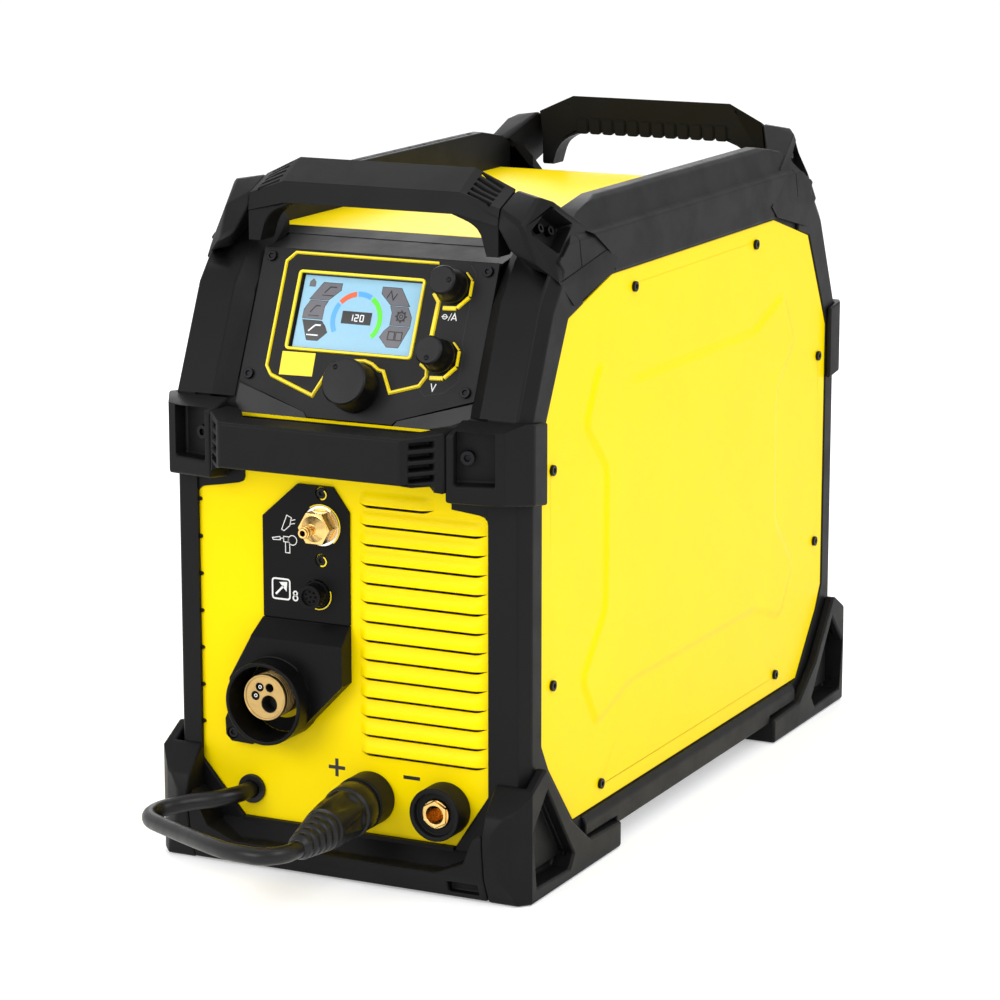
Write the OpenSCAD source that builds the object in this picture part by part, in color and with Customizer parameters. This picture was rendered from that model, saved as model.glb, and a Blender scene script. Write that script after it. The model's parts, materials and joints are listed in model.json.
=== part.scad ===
// Portable multi-process welding power source with a built-in wire feeder.
// X points to the right of someone facing the front, the front faces -Y, Z is up.
// The origin lies on the floor under the middle of the machine. Millimetres.

/* [Shell] */
// Width over the corner pillars
shell_w = 276; // [270:1:290]
// Length over the pillar faces, front to rear
shell_l = 582; // [570:2:620]
// Height of the top rails' ridge
rail_z = 471; // [465:1:485]
// Height at which the pillars start to lean back
chin_z = 335; // [330:1:340]
// Lean of the control panel from the vertical, in degrees
lean = 24.2; // [22:0.1:26]
// Height of the chassis floor above the ground
floor_z = 16; // [12:1:20]
// Thickness of the plastic pillar skin
skin_t = 3.5; // [3:0.1:4]
// Thickness of the steel sheets
sheet_t = 1.5; // [1:0.1:2]

/* [Side panels] */
// Height of the side panel's straight lower edge
panel_bottom_z = 36; // [33:1:40]
// Height of the raised field pressed into the panel
emboss_h = 1.2; // [0.8:0.1:2]
// Head diameter of the cover screws
cover_head_d = 7.6; // [6:0.2:9]

/* [Feet and bumpers] */
// Distance that the feet stand out beyond the sides
foot_proud = 8; // [6:0.5:14]
// Distance that the bumpers stand out from the pillar faces
bumper_reach = 52; // [44:1:60]
// Height of the bumper bars
bumper_h = 32; // [26:1:38]
// Height of the bumper bars' middle
bumper_mid_z = 311; // [306:1:314]
// Half width of the bumper's straight front
bumper_flat = 70; // [60:1:76]

/* [Carrying handles] */
// Height of the carrying handles above the top rails
handle_rise = 24; // [20:1:32]
// Half width of the straight grip
grip_half = 68; // [60:1:74]
// Half width of the handle at its seams
handle_half = 97; // [92:1:100]
// Depth of the grip from front to back
grip_depth = 25; // [22:1:28]

/* [Control panel] */
// Half width of the control panel plate
control_half = 92; // [90:1:94]
// Thickness of the control panel plate
control_t = 3; // [2:0.5:4]
// Visible width of the display
display_w = 93; // [80:1:96]
// Visible height of the display
display_h = 54; // [46:1:56]
// Diameter of the large knob
main_knob_d = 33; // [28:1:36]
// Diameter of the two small knobs
small_knob_d = 20; // [18:1:22]
// Height of all three knobs above the panel
knob_h = 21; // [18:1:24]
// Diameter of the knob shafts
shaft_d = 6; // [5:0.5:7]
// Push travel of the large knob
push_travel = 1.2; // [0.6:0.1:1.5]

/* [Front connections] */
// Outer diameter of the weld current sockets
socket_d = 38; // [34:1:42]
// Depth that the sockets stand out from the front panel
socket_out = 20; // [16:1:24]
// Distance between the two sockets
socket_pitch = 59; // [52:0.5:66]
// Diameter of the torch connector
torch_d = 33; // [28:1:35]
// Depth of the torch hood in front of the panel
hood_out = 14.5; // [12:0.5:18]
// Diameter of the polarity lead
lead_d = 12; // [10:0.5:13]
// Length of the polarity plug in front of its socket
plug_len = 92; // [86:1:96]

/* [Louvres] */
// Number of louvres in the front panel
louvre_n = 14; // [8:1:14]
// Distance between louvres
louvre_pitch = 13.6; // [12:0.1:14]
// Length of a louvre
louvre_w = 95; // [80:1:96]

/* [Door and feeder] */
// Diameter of the door's hinge rod
hinge_rod_d = 4; // [3:0.5:5]
// Diameter of the wire drive rolls
roll_d = 30; // [26:1:32]
// Diameter of the spool hub
hub_d = 50; // [44:1:52]

/* [Rear] */
// Diameter of the cooling fan's rotor
fan_d = 106; // [90:1:108]
// Diameter of the mains switch knob
switch_d = 42; // [36:1:48]

/* [Hidden] */
$fn = 48;
eps = 0.01;
far = 700;

hw = shell_w / 2;
hl = shell_l / 2;
foot_hw = hw + foot_proud;
black = "#1c1d1f";
yellow = "#ffe600";
steel = "#b9bcc0";
brass = "#c9983f";

// Side profile of the shell, from the foot of the front pillar to the top rail
slope_len = 80.5;
lean_y = slope_len * sin(lean);
lean_z = slope_len * cos(lean);
top_rise = rail_z - chin_z - lean_z;
handle_top_z = rail_z + handle_rise;
profile = [
    [-hl, floor_z],
    [-hl, chin_z],
    [-hl + lean_y, chin_z + lean_z],
    [-hl + lean_y + 23, chin_z + lean_z + 0.425 * top_rise],
    [-hl + lean_y + 51, chin_z + lean_z + 0.745 * top_rise],
    [-hl + lean_y + 73, chin_z + lean_z + 0.904 * top_rise],
    [-hl + lean_y + 108, rail_z]];
// Depth of the control panel behind the uprights, and its place up the slope
control_depth = 11;
control_up = slope_len + 24;
control_y = -hl + control_up * sin(lean) + control_depth * cos(lean);
control_z = chin_z + control_up * cos(lean) - control_depth * sin(lean);
// Width of the ledge that the side panel is screwed to
ledge_w = 20;
ledge_x = hw - 6;
panel_x = hw - 2.5;
frame_end_y = hl - 91;
panel_top_z = rail_z - 55;

// Front panel plane and what stands on it
front_y = -hl + skin_t;
front_half = 112;
front_top_z = chin_z - 12;
front_bottom_z = floor_z + 15.8;

function unit(v) = v / norm(v);
function inward(a, b) = let (d = unit(b - a)) [d[1], -d[0]];
function mitre(p, i) =
    let (n0 = inward(p[max(i - 1, 0)], p[max(i, 1)]))
    let (n1 = inward(p[min(i, len(p) - 2)], p[min(i + 1, len(p) - 1)]))
    (n0 + n1) / (1 + n0 * n1);

module both_x() {
    children();
    mirror([1, 0, 0]) children();
}

module both_y() {
    children();
    mirror([0, 1, 0]) children();
}

// Solid between rings that have the same number of points
module loft(rings) {
    n = len(rings[0]);
    last = len(rings) - 1;
    points = [for (ring = rings) each ring];
    sides = [for (i = [0:last - 1]) for (j = [0:n - 1])
        let (a = i * n + j, b = i * n + (j + 1) % n)
        each [[a, b, b + n], [a, b + n, a + n]]];
    caps = [[for (j = [n - 1:-1:0]) j], [for (j = [0:n - 1]) last * n + j]];
    polyhedron(points, concat(sides, caps), convexity = 8);
}

// Extrudes a (y, z) outline along X from x0 to x1
module along_x(x0, x1) {
    translate([x0, 0, 0]) rotate([90, 0, 90]) linear_extrude(x1 - x0) children();
}

// Extrudes an (x, z) outline along Y from y0 to y1
module along_y(y0, y1) {
    translate([0, y1, 0]) rotate([90, 0, 0]) linear_extrude(y1 - y0) children();
}

module block(lo, hi) {
    translate(lo) cube(hi - lo);
}

module rod_x(x0, x1, d) {
    translate([x0, 0, 0]) rotate([0, 90, 0]) cylinder(d = d, h = x1 - x0);
}

module rod_y(y0, y1, d) {
    translate([0, y0, 0]) rotate([-90, 0, 0]) cylinder(d = d, h = y1 - y0);
}

// ---------------------------------------------------------------- shell frame

// Cross-section of the top rail's outer skin, (x, z)
rail_skin = [[hw, panel_top_z + 1], [hw - 3, rail_z - 25], [hw - 7.5, rail_z - 20.5],
    [hw - 12, rail_z - 3], [hw - 16, rail_z]];

module rail_envelope() {
    polygon(concat([[0, 0], [hw, 0]], rail_skin, [[0, rail_z]]));
}

// The space that the frames and the rails fill, which the brackets and handles fit over
module shell_core() {
    difference() {
        intersection() {
            along_x(-hw, hw) polygon(concat(profile, [for (i = [6:-1:0]) [-profile[i][0], profile[i][1]]]));
            both_x() along_y(-hl, hl) rail_envelope();
        }
        both_x() both_y() corner_chamfer();
    }
}

function frame_ring(i, section) =
    let (m = mitre(profile, i))
    [for (k = [len(section) - 1:-1:0])
        [section[k][0], profile[i][0] + m[0] * section[k][1], profile[i][1] + m[1] * section[k][1]]];

// The hollow inside the shell
module shell_hollow() {
    inner = [for (i = [0:6]) profile[i] + skin_t * mitre(profile, i)];
    below = floor_z - 1;
    intersection() {
        along_x(-ledge_x, ledge_x) polygon(concat([[inner[0][0], below]], inner,
            [for (i = [6:-1:0]) [-inner[i][0], inner[i][1]]], [[-inner[0][0], below]]));
        both_x() along_y(-hl, hl) polygon([[0, 0], [ledge_x, 0], [ledge_x, rail_z - 27],
            [hw - 10.8, rail_z - 22.5], [hw - 15.3, rail_z - 5], [hw - 17.5, rail_z - skin_t],
            [0, rail_z - skin_t]]);
    }
}

// Chamfer along the outer corner of a pillar, up to the handle bracket
module corner_chamfer() {
    wedge = [[hw - 9, -5.5], [hw + 3, -5.5], [hw + 3, 16.5]];
    loft(concat([[for (p = frame_ring(0, wedge)) p - [0, 0, 5]]], [for (i = [1:3]) frame_ring(i, wedge)]));
}

// Bevelled inner edge of a leaning upright, with the flange that carries the control panel
upright_x = control_half + 11;
flange_d = control_depth + control_t;
module upright_edge() {
    low = 0.2;
    bevel = [[control_half, 10], [upright_x, low], [upright_x + 5, low], [upright_x + 5, skin_t + 0.5],
        [control_half + 4, flange_d + 2], [control_half, flange_d + 2]];
    flange = [[control_half - 15, flange_d], [control_half + 3, flange_d], [control_half + 3, flange_d + 3],
        [control_half - 15, flange_d + 3]];
    for (section = [bevel, flange]) loft([for (i = [1:5]) frame_ring(i, section)]);
}

// Corners of the side panel, (y, z), front half from the bottom to the top
panel_half = [[-(hl - 79), panel_bottom_z + 1], [-(hl - 38), 85], [-(hl - 27), 104],
    [-(hl - 27), 318], [-(hl - 68), 395], [-(hl - 141), panel_top_z]];

// Side panel outline, drawn in by a margin
function panel_outline(m) =
    let (front = [
        [panel_half[0][0] + m, panel_half[0][1] + m], [panel_half[1][0] + m, panel_half[1][1]],
        [panel_half[2][0] + m, panel_half[2][1]], [panel_half[3][0] + m, panel_half[3][1]],
        [panel_half[4][0] + m, panel_half[4][1] - m / 2], [panel_half[5][0], panel_half[5][1] - m]])
    concat(front, [for (i = [5:-1:0]) [-front[i][0], front[i][1]]]);

// Triangular window in the side of a foot, (y, z)
foot_window = [[-hl + 20, 75], [-hl - 4, 50], [-hl + 2, 10.5], [-hl + 56, 8.7], [-hl + 63, 18]];

module end_frame() {
    chin_low = front_top_z + 0.2;
    trim_half = front_half - 2;
    color(black) difference() {
        union() {
            difference() {
                shell_core();
                shell_hollow();
                along_y(-hl - 1, -hl + 15) polygon([[-84, floor_z - 1], [-84, front_bottom_z],
                    [-front_half, 71], [-front_half, chin_z], [front_half, chin_z], [front_half, 71],
                    [84, front_bottom_z], [84, floor_z - 1]]);
                block([-upright_x - 1, -hl - 1, chin_z - 1], [upright_x + 1, 0, rail_z + 1]);
            }
            both_x() upright_edge();
            // beam and trim below the control panel
            block([-ledge_x - 1, -hl + 21, chin_z - 9], [ledge_x + 1, -hl + 29, chin_z + 3]);
            both_x() block([front_half - 5, -hl + 2, chin_low], [front_half + 2, -hl + 26, chin_z + 2]);
            both_x() on_panel() translate([0, 0, -control_t - 1]) linear_extrude(control_t + 1) polygon([
                [trim_half, -plate_low - plate_lip], [trim_half, -plate_low + plate_step],
                [control_half + 1.5, -plate_low + plate_step], [plate_flat + 4, -plate_low + 0.7],
                [plate_flat + 1, -plate_low - plate_lip]]);
        }
        both_x() {
            along_x(panel_x, hw + 1) polygon(panel_outline(-0.5));
            along_x(ledge_x - 1, hw + 1) polygon(panel_outline(ledge_w));
            along_x(ledge_x + 2, hw + 1) polygon(foot_window);
            side_holes();
            top_pocket(cup_wall + 0.3);
        }
        on_panel() control_screw_holes(5);
        // room for the cowl and for the large knob's encoder
        along_x(-control_half, control_half) polygon([[cowl_y, cover_z - cowl_drop - cowl_t - 0.2],
            [-cover_l, cover_z - cowl_t - 0.2], [-cover_l, far], [cowl_y, far]]);
        on_panel() translate([knob_places[0][0] - 8, knob_places[0][1] - 8, -control_t - 12])
            cube([16, 16, 12]);
        block([-far, -frame_end_y, 0], [far, far, far]);
    }
}

module front_frame() { end_frame(); }

module rear_frame() { mirror([0, 1, 0]) end_frame(); }

// Top rail with the walls of the sunken cover, between y0 and y1
module top_rail(y0, y1) {
    intersection() {
        shell_core();
        union() {
            difference() {
                block([front_half, y0, panel_top_z - ledge_w], [hw + 1, y1, rail_z + 1]);
                shell_hollow();
                block([panel_x, y0 - 1, 0], [hw + 1, y1 + 1, panel_top_z + 0.5]);
                side_holes();
                both_y() top_pocket(cup_wall + 0.3);
            }
            block([front_half, y0, cover_z - 4], [front_half + 4, y1, rail_z]);
            block([front_half - 6, max(y0, -cover_l), cover_z - 4],
                [front_half + 1, min(y1, cover_l), cover_z - sheet_t]);
        }
    }
}

// Height of the sunken top cover, and its half length
cover_z = rail_z - 31;
cover_l = hl - 110;

module top_rail_right() {
    color(black) top_rail(-frame_end_y, frame_end_y);
}

// Length of the door's opening part of the left rail, either side of the middle
door_rail_half = hl - 155;
hinge_x = -(hw - 17);
hinge_z = rail_z - 4.5;
knuckle_r = 4.5;
knuckle_n = 11;
knuckle_gap = 0.5;
knuckle_len = 2 * door_rail_half / knuckle_n;

module knuckles(first) {
    for (i = [first:2:knuckle_n - 1])
        translate([hinge_x, -door_rail_half + i * knuckle_len + knuckle_gap / 2, hinge_z])
            rod_y(0, knuckle_len - knuckle_gap, 2 * knuckle_r);
}

module knuckle_webs(first, x0, x1, z1) {
    for (i = [first:2:knuckle_n - 1])
        let (y0 = -door_rail_half + i * knuckle_len + knuckle_gap / 2)
            block([x0, y0, hinge_z - knuckle_r], [x1, y0 + knuckle_len - knuckle_gap, z1]);
}

module top_rail_left() {
    half = door_rail_half + 2;
    color(black) difference() {
        union() {
            mirror([1, 0, 0]) both_y() top_rail(half, frame_end_y);
            block([-front_half - 4, -half, cover_z - 4], [-front_half, half, rail_z]);
            block([-front_half - 1, -half, cover_z - 4], [-front_half + 6, half, cover_z - sheet_t]);
            knuckles(0);
            knuckle_webs(0, hinge_x, -front_half - 1, hinge_z + 1.5);
        }
        translate([hinge_x, 0, hinge_z]) rod_y(-door_rail_half, door_rail_half, hinge_rod_d);
    }
}

divider_x = 8;

module chassis_tray() {
    w = ledge_x - 0.5;
    l = -front_y - sheet_t;
    color(steel) difference() {
        union() {
            block([-w, -l, floor_z], [w, l, floor_z + sheet_t]);
            both_x() block([w - sheet_t, -l, floor_z], [w, l, panel_bottom_z + 24]);
            both_y() block([-w, -l, floor_z], [w, -l + sheet_t, floor_z + 14]);
        }
        both_x() side_holes();
    }
}

module divider_wall() {
    l = -front_y - 2 * sheet_t - 0.2;
    cut = 36;
    color(steel) {
        along_x(divider_x, divider_x + sheet_t) polygon([[-l + cut, floor_z + sheet_t], [-l + cut, 100],
            [-l, 100], [-l, chin_z - 40], [-l + cut, chin_z - 10], [-l + 62, rail_z - 45],
            [l - 62, rail_z - 45], [l - cut, chin_z - 10], [l, chin_z - 40], [l, floor_z + sheet_t]]);
        // axle of the spool hub
        translate([0, hub_y, hub_z]) rod_x(hub_x0 + 6, divider_x + 0.5, hub_axle_d);
    }
}

module top_cover() {
    color(yellow) block([-front_half, -cover_l, cover_z - sheet_t], [front_half, cover_l, cover_z]);
}

// Sloping covers between the control panel and the sunken top cover
cowl_y = -hl + 59;
cowl_drop = 9;
cowl_t = 2.5;

module handle_cowls() {
    color(black) both_y() intersection() {
        shell_core();
        union() {
            along_x(-control_half + 0.2, control_half - 0.2) polygon([[cowl_y, cover_z - cowl_drop],
                [-cover_l, cover_z], [-cover_l, cover_z - cowl_t], [cowl_y, cover_z - cowl_drop - cowl_t]]);
            along_x(-front_half, front_half) polygon([[-frame_end_y, cover_z - 3], [-cover_l, cover_z],
                [-cover_l, cover_z - cowl_t], [-frame_end_y, cover_z - 3 - cowl_t]]);
        }
    }
}

// ---------------------------------------------------------------- side panels

// Raised field of the side panel, (y, z), front half from the bottom to the top
emboss_half = [[-118, 115], [-174, 97], [-199, 135], [-160, 178], [-159, 280], [-195, 316], [-172, 356],
    [-112, 335]];
emboss = concat(emboss_half, [for (i = [7:-1:0]) [-emboss_half[i][0], emboss_half[i][1]]]);

module pressed_panel(margin, back_gap) {
    difference() {
        union() {
            along_x(panel_x + back_gap, panel_x + back_gap + sheet_t) polygon(panel_outline(margin));
            along_x(panel_x + back_gap + eps, panel_x + back_gap + sheet_t + emboss_h) polygon(emboss);
        }
        translate([0, 0, 4.5]) along_x(panel_x - 1, panel_x + back_gap + emboss_h)
            scale([0.98, 0.98]) polygon(emboss);
    }
}

// Places of the side panel's screws, (y, z)
side_screws_half = [[hl - 178, panel_top_z - 14], [hl - 43, 294.7], [hl - 44, 143],
    [hl - 125, panel_bottom_z + 15]];
side_screws = [for (s = [-1, 1]) for (p = side_screws_half) [s * p[0], p[1]]];
cover_shank_d = 4;
cover_head_h = 2.4;

side_shank_l = 6;

// Holes for the side panel's screws, through everything behind it
module side_holes() {
    for (p = side_screws) translate([panel_x, p[0], p[1]]) rod_x(-12, sheet_t + 1, cover_shank_d);
}

module side_panel_right() {
    color(yellow) difference() {
        pressed_panel(0, 0);
        side_holes();
    }
}

door_gap = 0.3;
latch_y = 120;
latch_z = 65;
latch_shaft_d = 8;
fit = 0.06;

module left_door() {
    color(yellow) mirror([1, 0, 0]) difference() {
        pressed_panel(1.5, door_gap);
        for (s = [-1, 1]) translate([panel_x, s * latch_y, latch_z])
            rod_x(-2, sheet_t + 2, latch_shaft_d + 2 * fit);
    }
}

module door_rail() {
    color(black) difference() {
        union() {
            mirror([1, 0, 0]) along_y(-door_rail_half, door_rail_half) polygon([
                [hw, panel_top_z + 1.6], [hw - 3, rail_z - 25], [hw - 7.5, rail_z - 20.5],
                [hw - 12, rail_z - 4], [hw - 13.5, rail_z - 1], [hw - 14.5, rail_z - 1],
                [hw - 14.5, rail_z - 6], [hw - 10.8, rail_z - 22.5], [hw - 6, rail_z - 27],
                [ledge_x, panel_top_z + 1], [ledge_x, panel_top_z - ledge_w],
                [panel_x + door_gap, panel_top_z - ledge_w], [panel_x + door_gap, panel_top_z + 1]]);
            knuckles(1);
            knuckle_webs(1, -(hw - 13), hinge_x, hinge_z + 2);
        }
        translate([hinge_x, 0, hinge_z])
            rod_y(-door_rail_half - 1, door_rail_half + 1, hinge_rod_d + 2 * fit);
        // the fixed knuckles' pockets
        for (i = [0:2:knuckle_n - 1])
            let (y0 = -door_rail_half + i * knuckle_len)
                translate([hinge_x, y0 - knuckle_gap / 2, hinge_z])
                    rod_y(0, knuckle_len + knuckle_gap, 2 * knuckle_r + 0.8);
    }
}

module door_hinge_rod() {
    color(steel) translate([hinge_x, 0, hinge_z]) rod_y(-door_rail_half, door_rail_half, hinge_rod_d);
}

module door_latch() {
    out = -panel_x - door_gap - sheet_t;
    color(black) translate([0, 0, latch_z]) {
        rod_x(out - 3, -ledge_x + 6, latch_shaft_d);
        rod_x(out - 4, out - 0.4, 30);
        block([out - 10, -4, -13], [out - 4 + eps, 4, 13]);
        block([-ledge_x + 3.5, -4, -4], [-ledge_x + 6, 16, 4]);
    }
}

module door_latch_front() { translate([0, -latch_y, 0]) door_latch(); }

module door_latch_rear() { translate([0, latch_y, 0]) door_latch(); }

// ---------------------------------------------------------------- feet and base

foot_inner_x = 116;
foot_arm_y = hl - 144;
foot_profile = [[-hl - 13, 0], [-hl - 21, 19], [-hl - 24, 42], [-hl - 24, 52], [-hl - 20, 63],
    [-hl - 3, 80], [-hl + 17.5, 92], [-hl + 56, 46], [-hl + 91, floor_z + 5], [-foot_arm_y, floor_z + 3],
    [-foot_arm_y, 0]];

module core_box() {
    block([-hw, -hl, floor_z], [hw, hl, far]);
}

module foot() {
    color(black) difference() {
        intersection() {
            along_x(foot_inner_x, foot_hw) polygon(foot_profile);
            translate([0, 0, -1]) linear_extrude(100)
                polygon([[foot_inner_x, -far], [foot_inner_x, -foot_arm_y], [foot_hw, -foot_arm_y],
                    [foot_hw, -hl - 5], [foot_hw - 10, -hl - 17], [foot_inner_x + 8, -hl - 24],
                    [foot_inner_x, -hl - 24.5]]);
        }
        core_box();
        along_x(ledge_x - 2, foot_hw + 1) polygon(foot_window);
    }
}

module feet() {
    both_x() both_y() foot();
}

module base_bar() {
    difference() {
        union() {
            intersection() {
                along_y(-hl - 30, -hl + 6) polygon([[-foot_inner_x, 1], [foot_inner_x, 1],
                    [foot_inner_x, 52], [109, 47], [101, 28], [80, 19], [-80, 19], [-101, 28],
                    [-109, 47], [-foot_inner_x, 52]]);
                along_x(-foot_inner_x, foot_inner_x) polygon([[-hl - 13.7, 1], [-hl - 20.8, 19],
                    [-hl - 23.8, 42], [-hl - 23.8, 49], [-hl - 8, 56], [-hl, 56], [-hl, floor_z],
                    [-hl + 6, floor_z], [-hl + 6, 1]]);
            }
            along_x(-100, 100) polygon([[-hl - 12, 17], [-hl, 30], [-hl, 12], [-hl - 12, 12]]);
            block([-83.5, -hl - 1, floor_z], [83.5, front_y + sheet_t, front_bottom_z]);
        }
        both_x() block([87, -hl - 40, 5], [110, -hl - 10, 13]);
    }
}

module sill() {
    difference() {
        along_y(-frame_end_y, frame_end_y) polygon([[ledge_x - 0.5, floor_z], [hw + 4, floor_z],
            [hw + 4, panel_bottom_z - 5], [hw + 1, panel_bottom_z], [panel_x, panel_bottom_z],
            [panel_x, panel_bottom_z + 24], [ledge_x - 0.5, panel_bottom_z + 24]]);
        both_y() block([hw, -far, 0], [hw + 20, -foot_arm_y, floor_z + 5.5]);
        side_holes();
    }
}

module base_rails() {
    color(black) {
        both_y() base_bar();
        both_x() sill();
    }
}

// ---------------------------------------------------------------- bumpers

bumper_front_y = -hl - bumper_reach;
bumper_z0 = bumper_mid_z - bumper_h / 2;
bumper_z1 = bumper_mid_z + bumper_h / 2;
seam_x = bumper_flat + 20.6;
seam_y = bumper_front_y + 25.3;
bend_angle = atan2(seam_y - bumper_front_y, seam_x - bumper_flat);

module bumper() {
    color(black) difference() {
        intersection() {
            translate([0, 0, bumper_z0 - 20]) linear_extrude(bumper_h + 40) polygon([
                [-bumper_flat, bumper_front_y], [bumper_flat, bumper_front_y], [seam_x, seam_y],
                [seam_x, -hl - 4], [bumper_flat + 8, -hl - 4], [bumper_flat - 6, seam_y],
                [-bumper_flat + 6, seam_y], [-bumper_flat - 8, -hl - 4], [-seam_x, -hl - 4],
                [-seam_x, seam_y]]);
            along_y(bumper_front_y - 1, -hl) polygon([[-bumper_flat, bumper_z0],
                [bumper_flat, bumper_z0], [seam_x, bumper_z0 - 8], [seam_x, bumper_z1 + 2],
                [bumper_flat, bumper_z1], [-bumper_flat, bumper_z1], [-seam_x, bumper_z1 + 2],
                [-seam_x, bumper_z0 - 8]]);
        }
        both_x() for (i = [0:4])
            translate([(bumper_flat + seam_x) / 2, (bumper_front_y + seam_y) / 2, bumper_z1 - 5.5 - 7.6 * i])
                rotate([0, 0, bend_angle]) block([-9, -3, -2], [9, 8, 2]);
        // hollow back of the bar
        block([-bumper_flat + 10, bumper_front_y + 6, bumper_z0 + 4],
            [bumper_flat - 10, seam_y + 1, bumper_z1 - 4]);
    }
}

module bumper_front() { bumper(); }

module bumper_rear() { mirror([0, 1, 0]) bumper(); }

pocket_angle = atan2(11, 39.4);
pocket_mid = [(seam_x + hw - 8) / 2, (seam_y - hl - 16) / 2];
pocket_depth = 11;

module bumper_bracket() {
    z0 = bumper_z0 - 21;
    z1 = bumper_z1 + 8;
    difference() {
        intersection() {
            translate([0, 0, z0]) linear_extrude(z1 - z0) polygon([[seam_x, seam_y],
                [hw - 8, -hl - 16], [hw + 4, -hl + 6], [hw + 4, -hl + 27], [hw, -hl + 27],
                [hw, -hl + 11], [hw - 6, -hl], [seam_x, -hl]]);
            along_x(0, far) polygon([[seam_y, bumper_z0 - 14], [-hl + 27, z0], [-hl + 27, bumper_z1 + 4],
                [-hl, bumper_z1 + 7], [seam_y, bumper_z1]]);
        }
        translate([pocket_mid[0], pocket_mid[1], bumper_mid_z]) rotate([0, 0, pocket_angle])
            block([-14, -5, -18], [14, pocket_depth, 18]);
        translate([pocket_mid[0], pocket_mid[1], bumper_mid_z]) rotate([0, 0, pocket_angle])
            translate([-6, 0, 0]) rod_y(0, 40, bracket_shank_d);
    }
}

module bumper_brackets() {
    color(black) both_x() both_y() bumper_bracket();
}

bracket_head_d = 10;
bracket_head_h = 5;
bracket_shank_d = 6;

// Button-head screw along +Y with its head's top at y = 0 and a six-sided socket
module socket_screw(head_d, head_h, shank_d, shank_l) {
    difference() {
        union() {
            rod_y(0, head_h, head_d);
            rod_y(head_h - eps, head_h + shank_l, shank_d);
        }
        rotate([-90, 0, 0]) translate([0, 0, -1]) cylinder(d = head_d * 0.5, h = 1 + head_h * 0.6, $fn = 6);
    }
}

module bracket_screws() {
    color(steel) both_x() both_y() {
        translate([pocket_mid[0], pocket_mid[1], bumper_mid_z]) rotate([0, 0, pocket_angle])
            translate([-6, pocket_depth - bracket_head_h, 0])
                socket_screw(bracket_head_d, bracket_head_h, bracket_shank_d, 5);
        for (p = top_screw_places)
            at_top_pocket() translate([p[0], p[1], -top_pocket_depth + 4.5]) rotate([-90, 0, 0])
                socket_screw(7, 4.5, 4, cup_wall);
    }
}

// ---------------------------------------------------------------- handles

grip_y = -hl + 66;
handle_drop = 13.5;
grip_ring = [[grip_y, handle_top_z], [grip_y - grip_depth, handle_top_z - 14],
    [grip_y - grip_depth - 2, handle_top_z - 29], [grip_y - 3, handle_top_z - 29]];
seam_ring = [[grip_y + 3, handle_top_z - handle_drop], [grip_y - grip_depth + 3, handle_top_z - 24],
    [grip_y - grip_depth, handle_top_z - 36], [grip_y - 5, handle_top_z - 46]];

module handle() {
    color(black) difference() {
        union() {
            loft([for (r = [[-handle_half, seam_ring], [-grip_half, grip_ring], [grip_half, grip_ring],
                [handle_half, seam_ring]]) [for (p = [3:-1:0]) [r[0], r[1][p][0], r[1][p][1]]]]);
            both_x() along_y(grip_y - 24, grip_y - 4) polygon([[handle_half, handle_top_z - 30],
                [handle_half, rail_z - 33], [handle_half - 9, rail_z - 33], [handle_half - 13, rail_z - 19],
                [handle_half - 20, rail_z - 11.5], [handle_half - 36, handle_top_z - 29 + eps],
                [handle_half - 24, handle_top_z - 20]]);
        }
        shell_core();
        // ribbed underside of the grip
        for (i = [-6:5]) for (j = [0, 1])
            translate([i * 10 + 0.75, grip_y - 24 + j * 11, handle_top_z - 35])
                cube([8.5, 9, 14]);
        // cooling slots in both bends
        both_x() for (i = [0:4])
            translate([(grip_half + handle_half) / 2, grip_y - 1.5 - i * 5, handle_top_z - 6.5 - i * 2.4])
                rotate([0, 25, 0]) block([-9.5, -1.5, -5], [9.5, 1.5, 12]);
    }
}

module handle_front() { handle(); }

module handle_rear() { mirror([0, 1, 0]) handle(); }

bracket_hull = [
    [handle_half, grip_y + 3, handle_top_z - handle_drop], [handle_half, grip_y - grip_depth + 3, handle_top_z - 24],
    [handle_half, grip_y - grip_depth - 2, handle_top_z - 36], [handle_half + 9, grip_y - grip_depth - 2, rail_z - 27],
    [handle_half + 18, grip_y - grip_depth, rail_z - 10], [handle_half + 21, grip_y - 4, rail_z + 7],
    [hw - 13, grip_y + 5, rail_z + 3], [hw - 16, grip_y - 23, rail_z - 34], [hw - 4, grip_y - 13, rail_z - 39],
    [hw - 0.5, grip_y - 13, rail_z - 49], [hw + 1, grip_y + 9, rail_z - 68.3],
    [hw + 1, panel_half[5][0] - 3, panel_top_z + 1.6], [hw + 0.5, panel_half[5][0] + 7, panel_top_z + 10.5],
    [hw - 7, panel_half[5][0] - 28, rail_z - 19]];

top_pocket_depth = 10;
top_pocket_mid = [hw - 11.7, grip_y - 2.1, rail_z - 15.6];
top_pocket_turn = [-4, 70];
top_pocket = [[-15, 3], [-13, -2], [-3, -18], [0, -18], [16, -4], [16, 0], [1, 24], [-1, 24]];
top_screw_places = [[-0.7, 9.5], [-4, -2.5]];
cup_wall = 2.5;

// Pocket coordinates on the slanting outer face of a handle bracket
module at_top_pocket() {
    translate(top_pocket_mid) rotate([0, 0, top_pocket_turn[0]]) rotate([0, top_pocket_turn[1], 0]) children();
}

// The pocket in a handle bracket, grown by a wall thickness
module top_pocket(grow) {
    k = 1 + grow / 15;
    at_top_pocket() translate([0, 0, -top_pocket_depth - grow]) linear_extrude(30) scale([k, k])
        polygon(top_pocket);
}

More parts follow.
